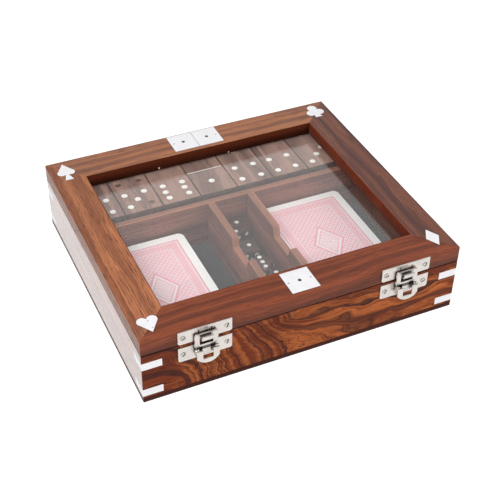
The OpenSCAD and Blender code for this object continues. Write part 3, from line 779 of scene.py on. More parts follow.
class CompendiumStage(bpy.types.PropertyGroup):
    """Camera, lamps and floor."""

    camera_place: FloatVectorProperty(name="Camera", description="Place of the camera", subtype="XYZ",
                                      unit="LENGTH", size=3, default=(-0.207754, -0.448095, 0.418517))
    camera_turn: FloatVectorProperty(name="Camera Turn", description="Rotation of the camera",
                                     subtype="EULER", unit="ROTATION", size=3,
                                     default=tuple(math.radians(a) for a in (50.442, -0.8976, -24.5836)))
    lens: FloatProperty(name="Lens", description="Focal length in millimetres on a 36 mm sensor",
                        default=76.417)
    daylight: FloatProperty(name="Daylight", description="Strength of the even light all round", default=0.62)
    key: FloatProperty(name="Key", description="Power of the large lamp", default=12.5, unit="POWER")
    fill: FloatProperty(name="Fill", description="Power of the lamp in front", default=9.0, unit="POWER")
    floor: FloatProperty(name="Floor", description="Radius of the floor", default=3.0, unit="LENGTH")


GROUPS = {"timber": CompendiumTimber, "metal": CompendiumMetal, "contents": CompendiumContents,
          "stage": CompendiumStage}


def settings(context, name):
    """One of the scene's groups of settings."""
    return getattr(context.scene, "compendium_" + name)


# Pieces


class COMPENDIUM_OT_case(bpy.types.Operator):
    """Case walls, bottom panel and their corner strips"""

    bl_idname = "compendium.case"
    bl_label = "Case"

    def execute(self, context):
        timber = settings(context, "timber")
        low, high = span("bottom_panel", "front_wall", "back_wall", "left_wall", "right_wall")
        below, above = low - [0, 0, 10], high + [0, 0, 10]
        seam_shade = rectangle(low, high, SEAM_DEPTH), high[2]
        lacquer = {"left": 1.0}
        looks = {f"{side}_wall": wood(f"{side.title()} Wall Rosewood", lacquer.get(side, 0.0), seam_shade=seam_shade)
                 for side in ("front", "back", "left", "right")}
        looks["bottom_panel"] = wood("Bottom Rosewood")
        ease_group(looks, timber.joint, envelope(below, high, timber.arris), "case", "case_wood")
        strip = metal("Corner Strip Metal", toned(settings(context, "metal").inlay, 0.86), 0.42, 0.14, 0.75)
        corners = ("front_left", "front_right", "back_left", "back_right")
        ease_group({corner + "_strips": strip for corner in corners}, 0.08,
                   envelope(below, above, timber.arris), "case", "inlay_metal", 0.5)
        return {"FINISHED"}


class COMPENDIUM_OT_lid(bpy.types.Operator):
    """Lid rails, with painted shade on the walls of their opening"""

    bl_idname = "compendium.lid"
    bl_label = "Lid"

    def execute(self, context):
        timber = settings(context, "timber")
        sides = ("front", "back", "left", "right")
        low, high = span(*(f"lid_{side}_rail" for side in sides))
        centre = (low + high) / 2
        reach = np.array([self.inner("lid_left_rail", centre, 0), self.inner("lid_front_rail", centre, 1), 0])
        hole = rectangle(centre - reach, centre + reach)
        # painted shade on the walls of the opening; the right rail's wall, which faces the light, is painted
        # lighter
        painted_shade_walls = (hole, 0.95, (0.012, 0.003, 0.002), (0.058, 0.012, 0.005))
        painted_lit_walls = (hole, 0.55, (0.13, 0.045, 0.036), (0.20, 0.036, 0.014))
        back = centre[1] + reach[1]
        spots = {"front": [(31, centre[1] - 55, high[2], 0.62)],
                 "back": [(-29, back, 37.6, 0.6), (18, back, 37.0, 0.5)]}
        seam_shade = rectangle(low, high, SEAM_DEPTH), low[2]
        looks = {f"lid_{side}_rail": wood(f"{side.title()} Rail Rosewood", spots=spots.get(side, ()),
                                          opening=painted_lit_walls if side == "right" else painted_shade_walls, seam_shade=seam_shade)
                 for side in sides}
        ease_group(looks, timber.joint, envelope(low, high, timber.arris), "lid", "lid_wood")
        return {"FINISHED"}

    def inner(self, node, centre, axis):
        """How far the top of a rail's inner face stands from the middle of the lid, along an axis."""
        points = points_of(node)
        top = points[points[:, 2] > points[:, 2].max() - 0.01]
        return np.abs(top[:, axis] - centre[axis]).min()


class COMPENDIUM_OT_dividers(bpy.types.Operator):
    """The three dividers; the two short ones have a scooped finger notch"""

    bl_idname = "compendium.dividers"
    bl_label = "Dividers"

    scoop: FloatProperty(name="Scoop", description="Length of a notch's sloped end, in millimetres",
                         default=2.6)

    def execute(self, context):
        # a paler tone painted on the tops as a highlight, most along their rounded edges
        painted_highlight = (0.50, 0.235, 0.125)
        for name, axis, nodes in (("Long Divider Wood", 0, ["long_divider"]),
                                  ("Short Divider Wood", 1, ["left_divider", "right_divider"])):
            look = wood(name, crown=painted_highlight)
            for node in nodes:
                settle(self.board(node, axis, look), "case", "divider_wood", node)
        return {"FINISHED"}

    def notch(self, node, along):
        """Depth of the finger notch along a short divider: full depth between the CAD notch's ends, and at
        each end a half cosine over the scoop's length."""
        points = points_of(node)
        top, floor = points[:, 2].max(), np.unique(points[:, 2].round(3))[1]
        ends = points[np.abs(points[:, 2] - floor) < 0.01, 1]
        within = np.minimum(along - ends.min(), ends.max() - along)
        rise = np.clip((within + self.scoop / 2) / self.scoop, 0, 1)
        return (top - floor) * (1 - np.cos(np.pi * rise)) / 2

    def board(self, node, axis, look):
        """A board along one axis: a rounded oblong section carried along it, with its top lowered by the
        notch. At both ends the section shrinks over its rounding, and at last to a point."""
        low, high = span(node)
        across, stations, radius, gone = 1 - axis, 240, 0.45, 1e3
        length, width = high[axis] - low[axis], high[across] - low[across]
        section = rounded_plan(width, 2.0, radius, 4)
        start, inward = np.array([0, 0, 0.3, 1]) * radius, [gone, radius, 0.3 * radius, 0]
        along = np.concatenate([start, np.linspace(1.5, length - 1.5, stations), length - start[::-1]])
        inset = np.concatenate([inward, np.zeros(stations), inward[::-1]])[:, None]
        fall = self.notch(node, along + low[axis]) if axis else np.zeros_like(along)
        tall = high[2] - low[2] - fall[:, None]
        shrink = np.clip(1 - inset / (width / 2), 0, 1)
        lower = np.where(shrink > 0, 1 - np.minimum(inset, 1) / (tall / 2), 0)
        height = np.where(section[:, 1] > 0, tall - 1, 1) + section[:, 1]
        points = np.empty((len(along), len(section), 3))
        points[..., axis] = low[axis] + along[:, None]
        points[..., across] = (low[across] + high[across]) / 2 + section[:, 0] * shrink
        points[..., 2] = low[2] + tall / 2 + (height - tall / 2) * lower
        piece = skin(node + "_piece", [patch(points, grid_quads(len(along), len(section), True))], [look])
        self.mark_painted_highlight(piece.data, along + low[axis], low[2] + tall[:, 0], axis)
        return piece

    def mark_painted_highlight(self, mesh, along, tops, axis):
        """Where the highlight is painted: a point value that is 1 along the two rounded top edges, less
        between them, and 0 on the sides.
        """
        points = mesh_points(mesh)
        below = np.interp(points[:, axis], along, tops) - points[:, 2]
        crown = np.select([below < 0.05, below < 0.4], [0.35, 1.0], 0.0)
        mesh.attributes.new("crown", "FLOAT", "POINT").data.foreach_set("value", crown.astype(np.float32))


class COMPENDIUM_OT_linings(bpy.types.Operator):
    """Felt linings of the four compartments"""

    bl_idname = "compendium.linings"
    bl_label = "Linings"

    def execute(self, context):
        contents = settings(context, "contents")
        made, net, shader = material("Black Felt")
        place = place_mm(net)
        tufts = net.noise(place, (1.1, 1.1, 1.1), 4.0, 0.7)
        lint = net.noise(place, (4.0, 3.0, 4.0)).smooth(0.66, 0.74)
        cloth = net.mix(tufts.smooth(0.3, 0.7), contents.felt, toned(contents.felt, 1.9))
        feed_all(net, shader, Base_Color=net.mix(lint * 0.12, cloth, (0.16, 0.16, 0.17)),
                 Normal=bump(net, tufts, 0.12), Roughness=0.95, Specular_IOR_Level=0.15, Sheen_Weight=0.15,
                 Sheen_Roughness=0.5)
        random = np.random.default_rng(contents.seed)
        for node in ("domino_felt", "left_card_felt", "dice_felt", "right_card_felt"):
            low, high = span(node)
            size = high - low
            piece = self.lining(node, low, size, random.uniform(0, 6, 4), made)
            settle(piece, "case", "felt", node)
            tuple(size[:2] * MM)
        return {"FINISHED"}

    def lining(self, node, low, size, phase, look):
        """A thin closed sheet whose top is a sum of slow sines, at most 0.12 mm below the CAD felt, and
        falls away over its last half millimetre."""
        pitch, rim_width, fall = 1.5, 0.5, 0.15
        lines = [np.linspace(0, length, max(4, int(length / pitch))) for length in size[:2]]
        x, y = np.meshgrid(*lines, indexing="ij")
        wave = np.sin(x / 9 + phase[0]) * np.sin(y / 13 + phase[1]) + np.sin(x / 23 + y / 17 + phase[2])
        edge = np.minimum.reduce([x, size[0] - x, y, size[1] - y])
        top = size[2] - 0.06 + wave * 0.03 - fall * (1 - np.clip(edge / rim_width, 0, 1)) ** 2
        upper, lower = (np.stack([x, y, z], -1) for z in (top, np.zeros_like(x)))
        rows, columns = x.shape
        quads = grid_quads(rows, columns)
        number = np.arange(rows * columns).reshape(rows, columns)
        rim = np.concatenate([number[0], number[1:, -1], number[-1, -2::-1], number[-2:0:-1, 0]])
        band = np.concatenate([upper.reshape(-1, 3)[rim], lower.reshape(-1, 3)[rim]])
        parts = [patch(upper, quads), patch(lower, quads[:, ::-1]),
                 patch(band, grid_quads(2, len(rim), True))]
        return skin(node + "_piece", moved(parts, low), [look])


class COMPENDIUM_OT_glass(bpy.types.Operator):
    """The glass pane, through which shadow and diffuse rays pass straight"""

    bl_idname = "compendium.glass"
    bl_label = "Glass"

    def execute(self, context):
        made, net, shader = material("Lid Glass")
        smear = net.noise(place_mm(net), (0.04, 0.09, 0.04), 3.0, 0.6)
        tint = net.mix(smear.smooth(0.3, 0.7), (0.95, 0.935, 0.93), (0.98, 0.965, 0.96))
        feed_all(net, shader, Base_Color=tint, Roughness=0.0, IOR=1.46, Specular_IOR_Level=0.06,
                 Transmission_Weight=0.984)
        open_air = net.add("ShaderNodeBsdfTransparent", {"Color": (0.9, 0.91, 0.9)})
        path = net.add("ShaderNodeLightPath")
        through = Field(net, path.outputs["Is Shadow Ray"]).most(path.outputs["Is Diffuse Ray"])
        both = net.add("ShaderNodeMixShader", {0: through, 1: shader.outputs[0], 2: open_air.outputs[0]})
        output = next(n for n in net.tree.nodes if n.type == "OUTPUT_MATERIAL")
        net.feed(output.inputs["Surface"], both.outputs[0])
        refinish("glass_pane", made)
        return {"FINISHED"}


class COMPENDIUM_OT_inlays(bpy.types.Operator):
    """Suit inlays, and the domino and die plates with their pips and nail heads"""

    bl_idname = "compendium.inlays"
    bl_label = "Inlays"

    pip: FloatProperty(name="Pip", description="Radius of the black pips, in millimetres", default=1.05)

    def execute(self, context):
        x, y, _ = middle("heart_inlay")
        top = span("heart_inlay")[1][2]
        heads = [(x + 0.4, y + 2.8, top, 0.42), (x + 1.0, y - 2.8, top, 0.42)]
        plate = metal("Inlay Metal", settings(context, "metal").inlay, 0.42, 0.10, 0.75, spots=heads)
        black = paint("Pip Black", (0.02, 0.018, 0.018), 0.45)
        nail = metal("Nail Metal", (0.42, 0.41, 0.42), 0.4, 0.3)
        # a dark joint line on the eased edges of the inlays, partly painted shade of the joint
        rim = paint("Joint Line And Shade", (0.022, 0.014, 0.012), 0.7)
        scribed = paint("Scribed Line", (0.26, 0.25, 0.255), 0.6)
        for suit in ("spade", "club", "heart", "diamond"):
            node = suit + "_inlay"
            settle(eased(node, 0.2, plate, None, 0.05, 1, rim), "lid", "inlay_metal", node)
        for node, line in (("domino_inlay", True), ("die_inlay", False)):
            looks = [plate, black, rim] + [scribed] * line
            settle(self.plate(node, line, looks), "lid", "inlay_metal", node)
        refinish("inlay_pins", nail)
        return {"FINISHED"}

    def plate(self, node, line, looks):
        """A thin plate with eased edges. Its top has a dish round each nail head and black pips: one in
        each half and a scribed middle line where it stands for a domino, or one in the middle where it
        stands for a die."""
        low, high = span(node)
        half, radius = (high - low) / 2, 0.18
        flat, reach = half - radius, self.reach(low, high)
        small, wide, groove, pip_in, pip_out = 1.2, 3.3, 0.16, 4.6, 11.2
        between = [-pip_out, -pip_in, -groove, groove, pip_in, pip_out] if line else [-wide, wide]
        edges = [-flat[0], -reach - small, small - reach, *between, reach - small, reach + small, flat[0]]
        across = [-flat[1], -wide, -small, small, wide, flat[1]]
        middle_of_half = (pip_in + pip_out) / 2
        pips = {3: -middle_of_half, 7: middle_of_half} if line else {3: 0.0}
        cells = []
        for column, place in {1: -reach, **pips, len(edges) - 3: reach}.items():
            is_pip = column in pips
            first, last = (1, 4) if is_pip else (2, 3)
            dish = (place, 0.0, self.pip, 0.22) if is_pip else (place, 0.0, 0.66, 0.05)
            cells.append(((column * CUTS, (column + 1) * CUTS, first * CUTS, last * CUTS), dish))
        lines = [cell_lines(edges), cell_lines(across), None]
        parts = []
        for points, quads, look in rounded_box(half, radius, lines, {(2, 1): cells}, 1):
            if np.ptp(points[:, 0]) < 1.5 * self.pip:  # the dish round a nail head is bare metal
                look = 0
            sunk = line & (np.abs(points[:, 0]) < 0.1) & (points[:, 2] > 0)
            rest = (points - np.outer(sunk * 0.1, [0, 0, 1]), quads, look)
            if look == 0:
                # the rounded edges wear the dark joint line, partly painted shade
                rim, rest = split(rest, lambda m: (np.abs(m) > flat).sum(1) > 1, 2)
                scribed, rest = split(rest, lambda m: line & (np.abs(m[:, 0]) < groove) & (m[:, 2] > 0), 3)
                parts += [rim, scribed]
            parts.append(rest)
        return skin(node + "_piece", moved(parts, (low + high) / 2), looks)

    def reach(self, low, high):
        """How far the two nails of the plate from low to high stand from its middle."""
        x, y, _ = points_of("inlay_pins").T
        right = x[(y > low[1]) & (y < high[1]) & (x > 0)]
        return (right.min() + right.max()) / 2


class COMPENDIUM_OT_latches(bpy.types.Operator):
    """Both latches: plates, levers, loops, hooks, pins and slotted screws"""

    bl_idname = "compendium.latches"
    bl_label = "Latches"

    slot_width: FloatProperty(name="Slot", description="Width of the screw slots, in millimetres",
                              default=0.62)

    def execute(self, context):
        nickel = settings(context, "metal").nickel
        darker = metal("Latch Rivet Nickel", toned(nickel, 0.75), 0.34, 0.4)
        for side in ("left", "right"):
            sheet = metal(side.title() + " Latch Nickel", nickel, 0.3, 0.35, shade_boxes=self.shade_boxes(side))
            for part, body, look in (
                ("latch_base", "case", sheet), ("latch_hook", "lid", sheet),
                ("latch_lever", side + "_lever", sheet), ("latch_loop", side + "_loop", sheet),
                ("latch_rivets", "case", darker), ("latch_loop_pin", side + "_lever", darker),
            ):
                node = f"{side}_{part}"
                settle(eased(node, 0.12, look, None, 0.3), body, "latch_metal", node)
        steel = metal("Screw Nickel", toned(nickel, 0.85), 0.3, 0.35)
        # the screw slots are painted near black as the shade in them
        slot_shade = paint("Slot Painted Shade", (0.018, 0.014, 0.012), 0.7)
        random = np.random.default_rng(settings(context, "contents").seed)
        for node, body in (("latch_base_screws", "case"), ("latch_hook_screws", "lid")):
            settle(self.screws(node, random, [steel, slot_shade]), body, "latch_metal", node)
        return {"FINISHED"}

    def shade_boxes(self, side):
        """Where shade is painted in a latch: on both plates behind the loop, on the loop's top bar behind the
        hook's lip, and on the loop's tongue just above the lever's slot."""
        x = middle(side + "_latch_base")[0]
        face, foot = span("front_wall")[0][1], span(side + "_latch_base")[0][2]
        return [
            ((x, face, foot + 7.9), (5.6, 1.0, 6.3), 0.9),
            ((x, face, foot + 15.2), (3.0, 1.0, 1.6), 0.6),
            ((x, face - 2.0, foot + 15.6), (3.6, 1.3, 1.3), 0.5),
            ((x, face - 2.1, foot + 7.7), (2.9, 1.2, 1.1), 0.85),
        ]

    def screws(self, node, random, looks):
        """One slotted screw at each place where the CAD node has one."""
        points = points_of(node)
        parts = []
        for side in (-1, 1):
            half = points[points[:, 0] * side > 0]
            latch = (half[:, 0].min() + half[:, 0].max()) / 2
            for end in (-1, 1):
                one = half[(half[:, 0] - latch) * end > 0]
                low, size = one.min(0), np.ptp(one, axis=0)
                tip = low + size * [0.5, 0, 0.5]
                parts += self.screw(tip, size[0] / 2, size[1], math.radians(random.uniform(15, 75)))
        return skin(node + "_piece", parts, looks)

    def screw(self, tip, radius, length, turn):
        """A screw with its domed head towards -Y. The head is a disc of chords: a chord at height v is as
        long as the circle allows. Its dome falls with the square of the distance from the middle, with its
        crown cut flat, and the chords within the slot lie deeper. Under the head the outline narrows to
        the shank and runs back into the wood."""
        dome, crown, slot_depth, shank, neck, edge = 0.34, 0.3, 0.32, 0.8, 0.6, 0.12
        slot = self.slot_width / 2 / radius
        side = np.array([1, 0.97, 0.85, 0.6, 0.35, slot])
        v = np.concatenate([-side, [-slot, 0, slot], side[::-1]])[:, None]
        sunk = np.zeros(len(v))
        sunk[len(side):-len(side)] = slot_depth
        x = np.linspace(-1, 1, 11) * np.sqrt(np.clip(1 - v**2, 0, 1))
        y = np.broadcast_to(v, x.shape)
        head = np.stack([x * radius, y * radius, dome * (1 - x**2 - y**2) - sunk[:, None]], -1)
        rim = np.concatenate([head[:, -1], head[::-1, 0]])
        scale = np.array([1, 0.985, shank / radius, shank / radius, 0])
        under = rim * np.stack([scale, scale, [1, 0, 0, 0, 0]], -1)[:, None]
        under[..., 2] -= np.array([0, edge, neck, length, length])[:, None]
        face = grid_quads(*x.shape)
        in_slot = sunk[face // x.shape[1]].all(1)
        made = []
        for points, quads, look in (patch(head, face[~in_slot]), patch(head, face[in_slot], 1),
                                    patch(under, grid_quads(*under.shape[:2], True))):
            along, up, out = turned(points, turn).T
            made.append((np.stack([along, dome - np.minimum(out, crown), up], -1) + tip, quads, look))
        return made


class COMPENDIUM_OT_hinges(bpy.types.Operator):
    """Both hinges with their pins and screws"""

    bl_idname = "compendium.hinges"
    bl_label = "Hinges"

    def execute(self, context):
        nickel = settings(context, "metal").nickel
        leaf = metal("Hinge Nickel", nickel, 0.32, 0.35)
        steel = metal("Hinge Pin Nickel", toned(nickel, 0.8), 0.3, 0.3)
        for side in ("left", "right"):
            for part, body in (("box_leaf", "case"), ("lid_leaf", "lid")):
                node = f"{side}_hinge_{part}"
                settle(eased(node, 0.1, leaf, None, 0.5), body, "hinge_metal", node)
        for node in ("hinge_pins", "hinge_box_screws", "hinge_lid_screws"):
            refinish(node, steel)
        return {"FINISHED"}


class COMPENDIUM_OT_cards(bpy.types.Operator):
    """Two packs of cards, card by card, with a printed back on top"""

    bl_idname = "compendium.cards"
    bl_label = "Cards"

    corner: FloatProperty(name="Corner", description="Radius of a card's corners, in millimetres",
                          default=3.5)
    slip: FloatProperty(name="Slip", description="How far a card may lie off the pack, in millimetres",
                        default=0.22)

    def execute(self, context):
        contents = settings(context, "contents")
        looks = [self.paper(), self.printed(contents.card_red)]
        random = np.random.default_rng(contents.seed)
        for node in ("left_card_pack", "right_card_pack"):
            low, high = span(node)
            size, centre = high - low, (low + high) / 2
            pitch = size[2] / contents.cards
            plan = rounded_plan(*(size[:2] - 2 * self.slip), self.corner)
            card = sheet_of(plan, 0.02, pitch)
            parts = []
            for number in range(contents.cards):
                slip = random.uniform(-self.slip, self.slip, 2) * (number < contents.cards - 1)
                parts += moved(card, [*(centre[:2] + slip), low[2] + number * pitch])
            piece = skin(node + "_piece", parts, looks)
            self.map_print(piece.data, centre)
            settle(piece, "case", "cards", node)
        return {"FINISHED"}

    def map_print(self, mesh, centre):
        """A flat map of the card's own x and y from its middle, in tenths of a metre."""
        corners = np.empty(len(mesh.loops), np.int32)
        mesh.loops.foreach_get("vertex_index", corners)
        flat = (mesh_points(mesh)[corners, :2] - centre[:2]) / 100
        mesh.uv_layers.new(name="Print").data.foreach_set("uv", flat.astype(np.float32).ravel())

    def paper(self):
        """White card stock, a little grey between the sheets."""
        made, net, shader = material("Card Stock")
        grey = net.noise(place_mm(net), (0.3, 0.3, 3.5))
        feed_all(net, shader, Roughness=0.55 + grey * 0.1,
                 Base_Color=net.mix(grey.smooth(0.35, 0.65), (0.60, 0.59, 0.58), (0.84, 0.83, 0.82)))
        return made

    def printed(self, ink):
        """Card back on white stock: a framed field of crossed lines with small diamonds, two rows of dots
        along each long side, and a plain lozenge in the middle. All are distances in millimetres from the
        card's own axes."""
        made, net, shader = material("Card Back")
        flat = net.add("ShaderNodeUVMap", uv_map="Print").outputs[0]
        u, v, _ = net.parts(net.vector("MULTIPLY", flat, (100, 100, 100)))
        across, along = u.size(), v.size()
        inside = (23.4 - across).least(39.2 - along)

        def line(distance, width, soft=0.12):
            return 1 - distance.size().smooth(width / 2 - soft, width / 2 + soft)

        frame_lines = line(inside - 0.5, 1.0).most(line(inside - 1.9, 0.35)).most(line(inside - 6.2, 0.5))
        band = inside.smooth(2.1, 2.3) * (1 - inside.smooth(5.7, 5.9))
        row = (u + v).repeat(2.2).size().least((u - v).repeat(2.2).size())
        border = band * (1 - row.smooth(0.34, 0.62))
        lattice = line((u + v).repeat(3.4), 0.9, 0.2).most(line((u - v).repeat(3.4), 0.9, 0.2))
        buds = 1 - ((u + v + 1.7).repeat(3.4).size() + (u - v + 1.7).repeat(3.4).size()).smooth(0.55, 0.95)
        lozenge = across / 9.5 + along / 15.0
        middle_lines = line((lozenge - 1.0) * 6, 0.9).most(line((lozenge - 0.72) * 6, 0.45))
        stripes = line((along - across * 0.4).repeat(1.5), 0.5, 0.15)
        striped = stripes * (1 - lozenge.smooth(0.66, 0.68))
        inner = net.mix(lozenge.smooth(0.98, 1.0), striped, lattice.most(buds))
        inner = net.field("ShaderNodeRGBToBW", {0: inner}).most(middle_lines)
        printed = frame_lines.most(border).most(inside.smooth(6.8, 7.0) * inner)
        wash = inside.smooth(-0.1, 0.1) * 0.14
        speck = net.noise(place_mm(net), (0.8, 0.8, 0.8))
        stock = net.mix(speck.smooth(0.3, 0.7), (0.84, 0.83, 0.83), (0.89, 0.88, 0.88))
        feed_all(net, shader, Base_Color=net.mix((printed * 0.75).most(wash), stock, ink),
                 Roughness=0.36 + speck * 0.12, Normal=bump(net, speck, 0.02))
        return made


class COMPENDIUM_OT_dominoes(bpy.types.Operator):
    """A double-six set in four layers, each piece a rounded block with dished pips"""

    bl_idname = "compendium.dominoes"
    bl_label = "Dominoes"

    pip: FloatProperty(name="Pip", description="Radius of a pip, in millimetres", default=1.9)
    spread: FloatProperty(name="Spread", description="Distance between rows of pips, in millimetres",
                          default=6.3)
    round_edge: FloatProperty(name="Edge", description="Rounding of the edges, in millimetres", default=0.45)

    top_layer = ((5, 0), (5, 4), (6, 0), (1, 0), (4, 1), (4, 0), (3, 1))
    layers, columns = 4, 7

    def execute(self, context):
        random = np.random.default_rng(settings(context, "contents").seed)
        tile, ends = (wood(name, attribute="grain") for name in ("Domino Wood", "Domino End Grain And Shade"))
        white = paint("Domino White", (0.86, 0.85, 0.83), 0.4)
        bare = paint("Bare Pip", (0.10, 0.055, 0.038), 0.6)
        rest = [(a, b) for a in range(7) for b in range(a + 1) if (a, b) not in self.top_layer]
        for layer in range(self.layers):
            node = f"dominoes_layer_{layer + 1}"
            low, high = span(node)
            top = layer == self.layers - 1
            values = self.top_layer if top else rest[layer * self.columns:(layer + 1) * self.columns]
            pitch = self.pitch(node)
            half = (high - low - [pitch * (self.columns - 1), 0, 0]) / 2
            parts, seeds = [], []
            for column, value in enumerate(values):
                block = self.domino(half, value, random, top and column == 1, top and column == 3)
                parts += moved(block, low + half + [column * pitch, 0, 0])
                seeds.append(random.uniform(-400, 400, 3))
            piece = skin(node + "_piece", parts, [tile, white, bare, ends])
            self.grain(piece.data, low[0] + half[0], pitch, np.array(seeds))
            settle(piece, "case", "domino_wood", node)
        return {"FINISHED"}

    def pitch(self, node):
        """Distance between the columns of a layer, from the near sides of its first and last block."""
        x = np.unique(points_of(node)[:, 0].round(3))
        return (x[-2] - x[0]) / (self.columns - 1)

    def grain(self, mesh, start, pitch, seeds):
        """Grain coordinates: the place in the frame, shifted for each block so that no two show the same
        wood."""
        points = mesh_points(mesh)
        column = np.clip(np.round((points[:, 0] - start) / pitch), 0, self.columns - 1).astype(int)
        values = (points + seeds[column]) * MM
        mesh.attributes.new("grain", "FLOAT_VECTOR", "POINT").data.foreach_set("vector", values.ravel())

    def domino(self, half, value, random, some_bare, bright_line):
        """A rounded block whose top has three by three cells in each half, a pip in some of them, and a
        groove across the middle. Its ends and the rounded edges of its long sides wear the darker end grain,
        which is partly painted shade on the ends and between the blocks."""
        step = self.spread / 2
        flat = half - self.round_edge
        mid = flat[1] / 2 + 0.4
        rows = mid + step * np.array([-3, -1, 1])
        across = [-flat[0], -step, step, flat[0]]
        along = [-flat[1], *-rows[::-1], -0.25, 0.25, *rows, flat[1]]
        cells = []
        for count, centre, first in zip(value, (-mid, mid), (0, 6)):
            cells += pip_cells(count, self.spread, self.pip, 0.35, centre, first, random)
        lines = [cell_lines(across), cell_lines(along), None]
        made = []
        for points, quads, look in rounded_box(half, self.round_edge, lines, {(2, 1): cells}):
            x, y, _ = points.mean(0)
            if look == 1 and some_bare and (y > 0 or (x > 2 and y < -12)):
                look = 2
            # ends and long edges wear the darker end grain, partly painted shade between the blocks
            if look == 0 and abs(y) > flat[1] - 1:
                look = 3
            on_groove = (np.abs(points[:, 1]) < 0.2) & (points[:, 2] > 0)
            rest = (points - np.outer(on_groove * 0.22, [0, 0, 1]), quads, look)
            if look == 0:
                side, rest = split(rest, lambda m: np.abs(m[:, 0]) > flat[0], 3)
                bright, rest = split(rest, lambda m: bright_line & (np.abs(m[:, 1]) < 0.3) & (m[:, 2] > 0), 1)
                made += [side, bright]
            made.append(rest)
        return made


class COMPENDIUM_OT_dice(bpy.types.Operator):
    """Five wooden dice with dished white pips"""

    bl_idname = "compendium.dice"
    bl_label = "Dice"

    pip: FloatProperty(name="Pip", description="Radius of a pip, in millimetres", default=1.35)
    spread: FloatProperty(name="Spread", description="Distance between rows of pips, in millimetres",
                          default=3.1)
    round_edge: FloatProperty(name="Edge", description="Rounding of the edges, in millimetres", default=1.6)

    tops = {"dice_one": 2, "dice_two": 1, "dice_three": 3, "dice_four": 5, "dice_five": 4}

    def execute(self, context):
        looks = [wood("Dice Wood", 0.4), paint("Dice White", (0.84, 0.83, 0.81), 0.4)]
        for node, top in self.tops.items():
            low, high = span(node)
            centre = (low + high) / 2
            turn = self.turn(node, centre)
            die = self.die(centre[2] - low[2], top)
            parts = [(turned(points, turn), quads, look) for points, quads, look in die]
            settle(skin(node + "_piece", moved(parts, centre), looks), "case", "dice_wood", node)
        return {"FINISHED"}

    def turn(self, node, centre):
        """The die's turn about Z: the direction, within a quarter turn, in which its points reach least
        far."""
        angles = np.radians(np.arange(0, 90, 0.5))
        reach = np.abs((points_of(node) - centre)[:, :2] @ np.stack([np.cos(angles), np.sin(angles)])).max(0)
        return angles[np.argmin(reach)]

    def die(self, half, top):
        """A rounded cube with three by three cells on each face, opposite faces adding up to seven."""
        flat, step = half - self.round_edge, self.spread / 2
        lines = [cell_lines([-flat, -step, step, flat])] * 3
        beside = [n for n in (1, 2, 3) if n not in (top, 7 - top)]
        cells = {}
        for axis, count in zip((2, 0, 1), (top, *beside)):
            for sign, number in ((1, count), (-1, 7 - count)):
                cells[axis, sign] = pip_cells(number, self.spread, self.pip, 0.3)
        return rounded_box(np.full(3, half), self.round_edge, lines, cells, 3)


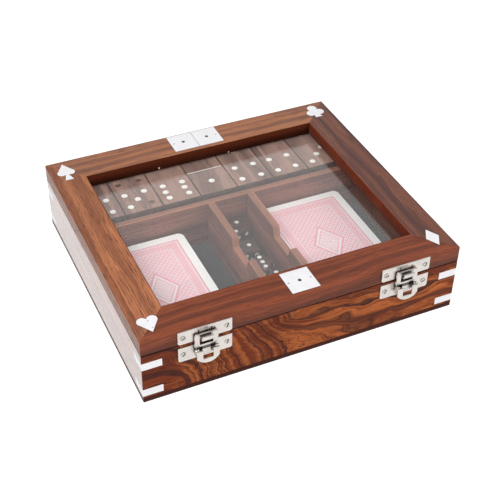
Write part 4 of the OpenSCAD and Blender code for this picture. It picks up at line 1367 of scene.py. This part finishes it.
class COMPENDIUM_OT_stage(bpy.types.Operator):
    """Camera, lamps, even light and the pale floor"""

    bl_idname = "compendium.stage"
    bl_label = "Stage"

    def execute(self, context):
        stage = settings(context, "stage")
        camera = bpy.data.objects.new("Camera", bpy.data.cameras.new("Camera"))
        camera.location = stage.camera_place
        camera.rotation_euler = Euler(stage.camera_turn)
        camera.data.lens = stage.lens
        camera.data.clip_start = 0.01
        context.scene.collection.objects.link(camera)
        context.scene.camera = camera
        self.lamp(context, "Key", place=(-0.5, -0.4, 1.0), size=0.8, power=stage.key)
        fill = self.lamp(context, "Fill", place=(0.5, -1.0, 0.45), size=0.9, power=stage.fill)
        fill.visible_glossy = fill.visible_transmission = False
        self.world(context, stage.daylight)
        self.floor(stage.floor)
        context.scene.view_settings.view_transform = "Standard"
        return {"FINISHED"}

    def lamp(self, context, name, place, size, power):
        """A square area lamp that looks at the origin."""
        data = bpy.data.lights.new(name, "AREA")
        data.size, data.energy = size, power
        lamp = bpy.data.objects.new(name, data)
        lamp.location = place
        lamp.rotation_euler = (-lamp.location).to_track_quat("-Z", "Y").to_euler()
        context.scene.collection.objects.link(lamp)
        return lamp

    def seen(self, net):
        """1 for what the eye meets directly, in a mirror or through glass."""
        path = net.add("ShaderNodeLightPath")
        camera = Field(net, path.outputs["Is Camera Ray"])
        return camera.most(path.outputs["Is Glossy Ray"]).most(path.outputs["Is Transmission Ray"])

    def world(self, context, daylight):
        """Even light all round that lights things less than it is seen."""
        world = bpy.data.worlds.new("Daylight")
        net = emptied(world)
        strength = self.seen(net) * (1 - daylight) + daylight
        sky = net.add("ShaderNodeBackground", {"Color": (1, 1, 1), "Strength": strength})
        net.add("ShaderNodeOutputWorld", {"Surface": sky.outputs[0]})
        context.scene.world = world

    def floor(self, radius):
        """A flat disc of rings about the origin, each ring's radius the square of its share of the way
        out. Its diffuse part keeps the box's shadow, and its glow brings the rest up to white."""
        rings, rays, under = 14, 64, 0.02
        share = np.linspace(0, 1, rings)[:, None] ** 2 * radius / MM
        turn = np.linspace(0, 2 * math.pi, rays, endpoint=False)
        points = np.stack([share * np.cos(turn), share * np.sin(turn), np.full((rings, rays), -under)], -1)
        made = bpy.data.materials.new("Pale Floor")
        net = emptied(made)
        speck = net.noise(place_mm(net), (0.05, 0.05, 0.05), 3.0)
        tone = net.mix(speck, (0.40, 0.40, 0.40), (0.42, 0.42, 0.42))
        matt = net.add("ShaderNodeBsdfDiffuse", {"Color": tone})
        glow = net.add("ShaderNodeEmission", {"Color": (1, 1, 1), "Strength": self.seen(net) * 0.745})
        both = net.add("ShaderNodeAddShader", {0: matt.outputs[0], 1: glow.outputs[0]})
        net.add("ShaderNodeOutputMaterial", {"Surface": both.outputs[0]})
        skin("Floor", [patch(points, grid_quads(rings, rays, True))], [made])


PIECES = (
    COMPENDIUM_OT_stage,
    COMPENDIUM_OT_case,
    COMPENDIUM_OT_lid,
    COMPENDIUM_OT_dividers,
    COMPENDIUM_OT_linings,
    COMPENDIUM_OT_glass,
    COMPENDIUM_OT_inlays,
    COMPENDIUM_OT_latches,
    COMPENDIUM_OT_hinges,
    COMPENDIUM_OT_cards,
    COMPENDIUM_OT_dominoes,
    COMPENDIUM_OT_dice,
)


class COMPENDIUM_PT_panel(bpy.types.Panel):
    """Lists the pieces and the settings"""

    bl_idname = "COMPENDIUM_PT_panel"
    bl_label = "Compendium"
    bl_space_type = "VIEW_3D"
    bl_region_type = "UI"
    bl_category = "Compendium"

    def draw(self, context):
        for piece in PIECES:
            self.layout.operator(piece.bl_idname)
        for name, group in GROUPS.items():
            box = self.layout.box()
            for title in group.__annotations__:
                box.prop(settings(context, name), title)


CLASSES = (*GROUPS.values(), *PIECES, COMPENDIUM_PT_panel)


def register():
    for item in CLASSES:
        bpy.utils.register_class(item)
    for name, group in GROUPS.items():
        setattr(bpy.types.Scene, "compendium_" + name, PointerProperty(type=group))


def unregister():
    for name in GROUPS:
        delattr(bpy.types.Scene, "compendium_" + name)
    for item in reversed(CLASSES):
        bpy.utils.unregister_class(item)


def main():
    register()
    for piece in PIECES:
        getattr(bpy.ops.compendium, piece.bl_idname.split(".")[1])()


if __name__ == "__main__":
    main()
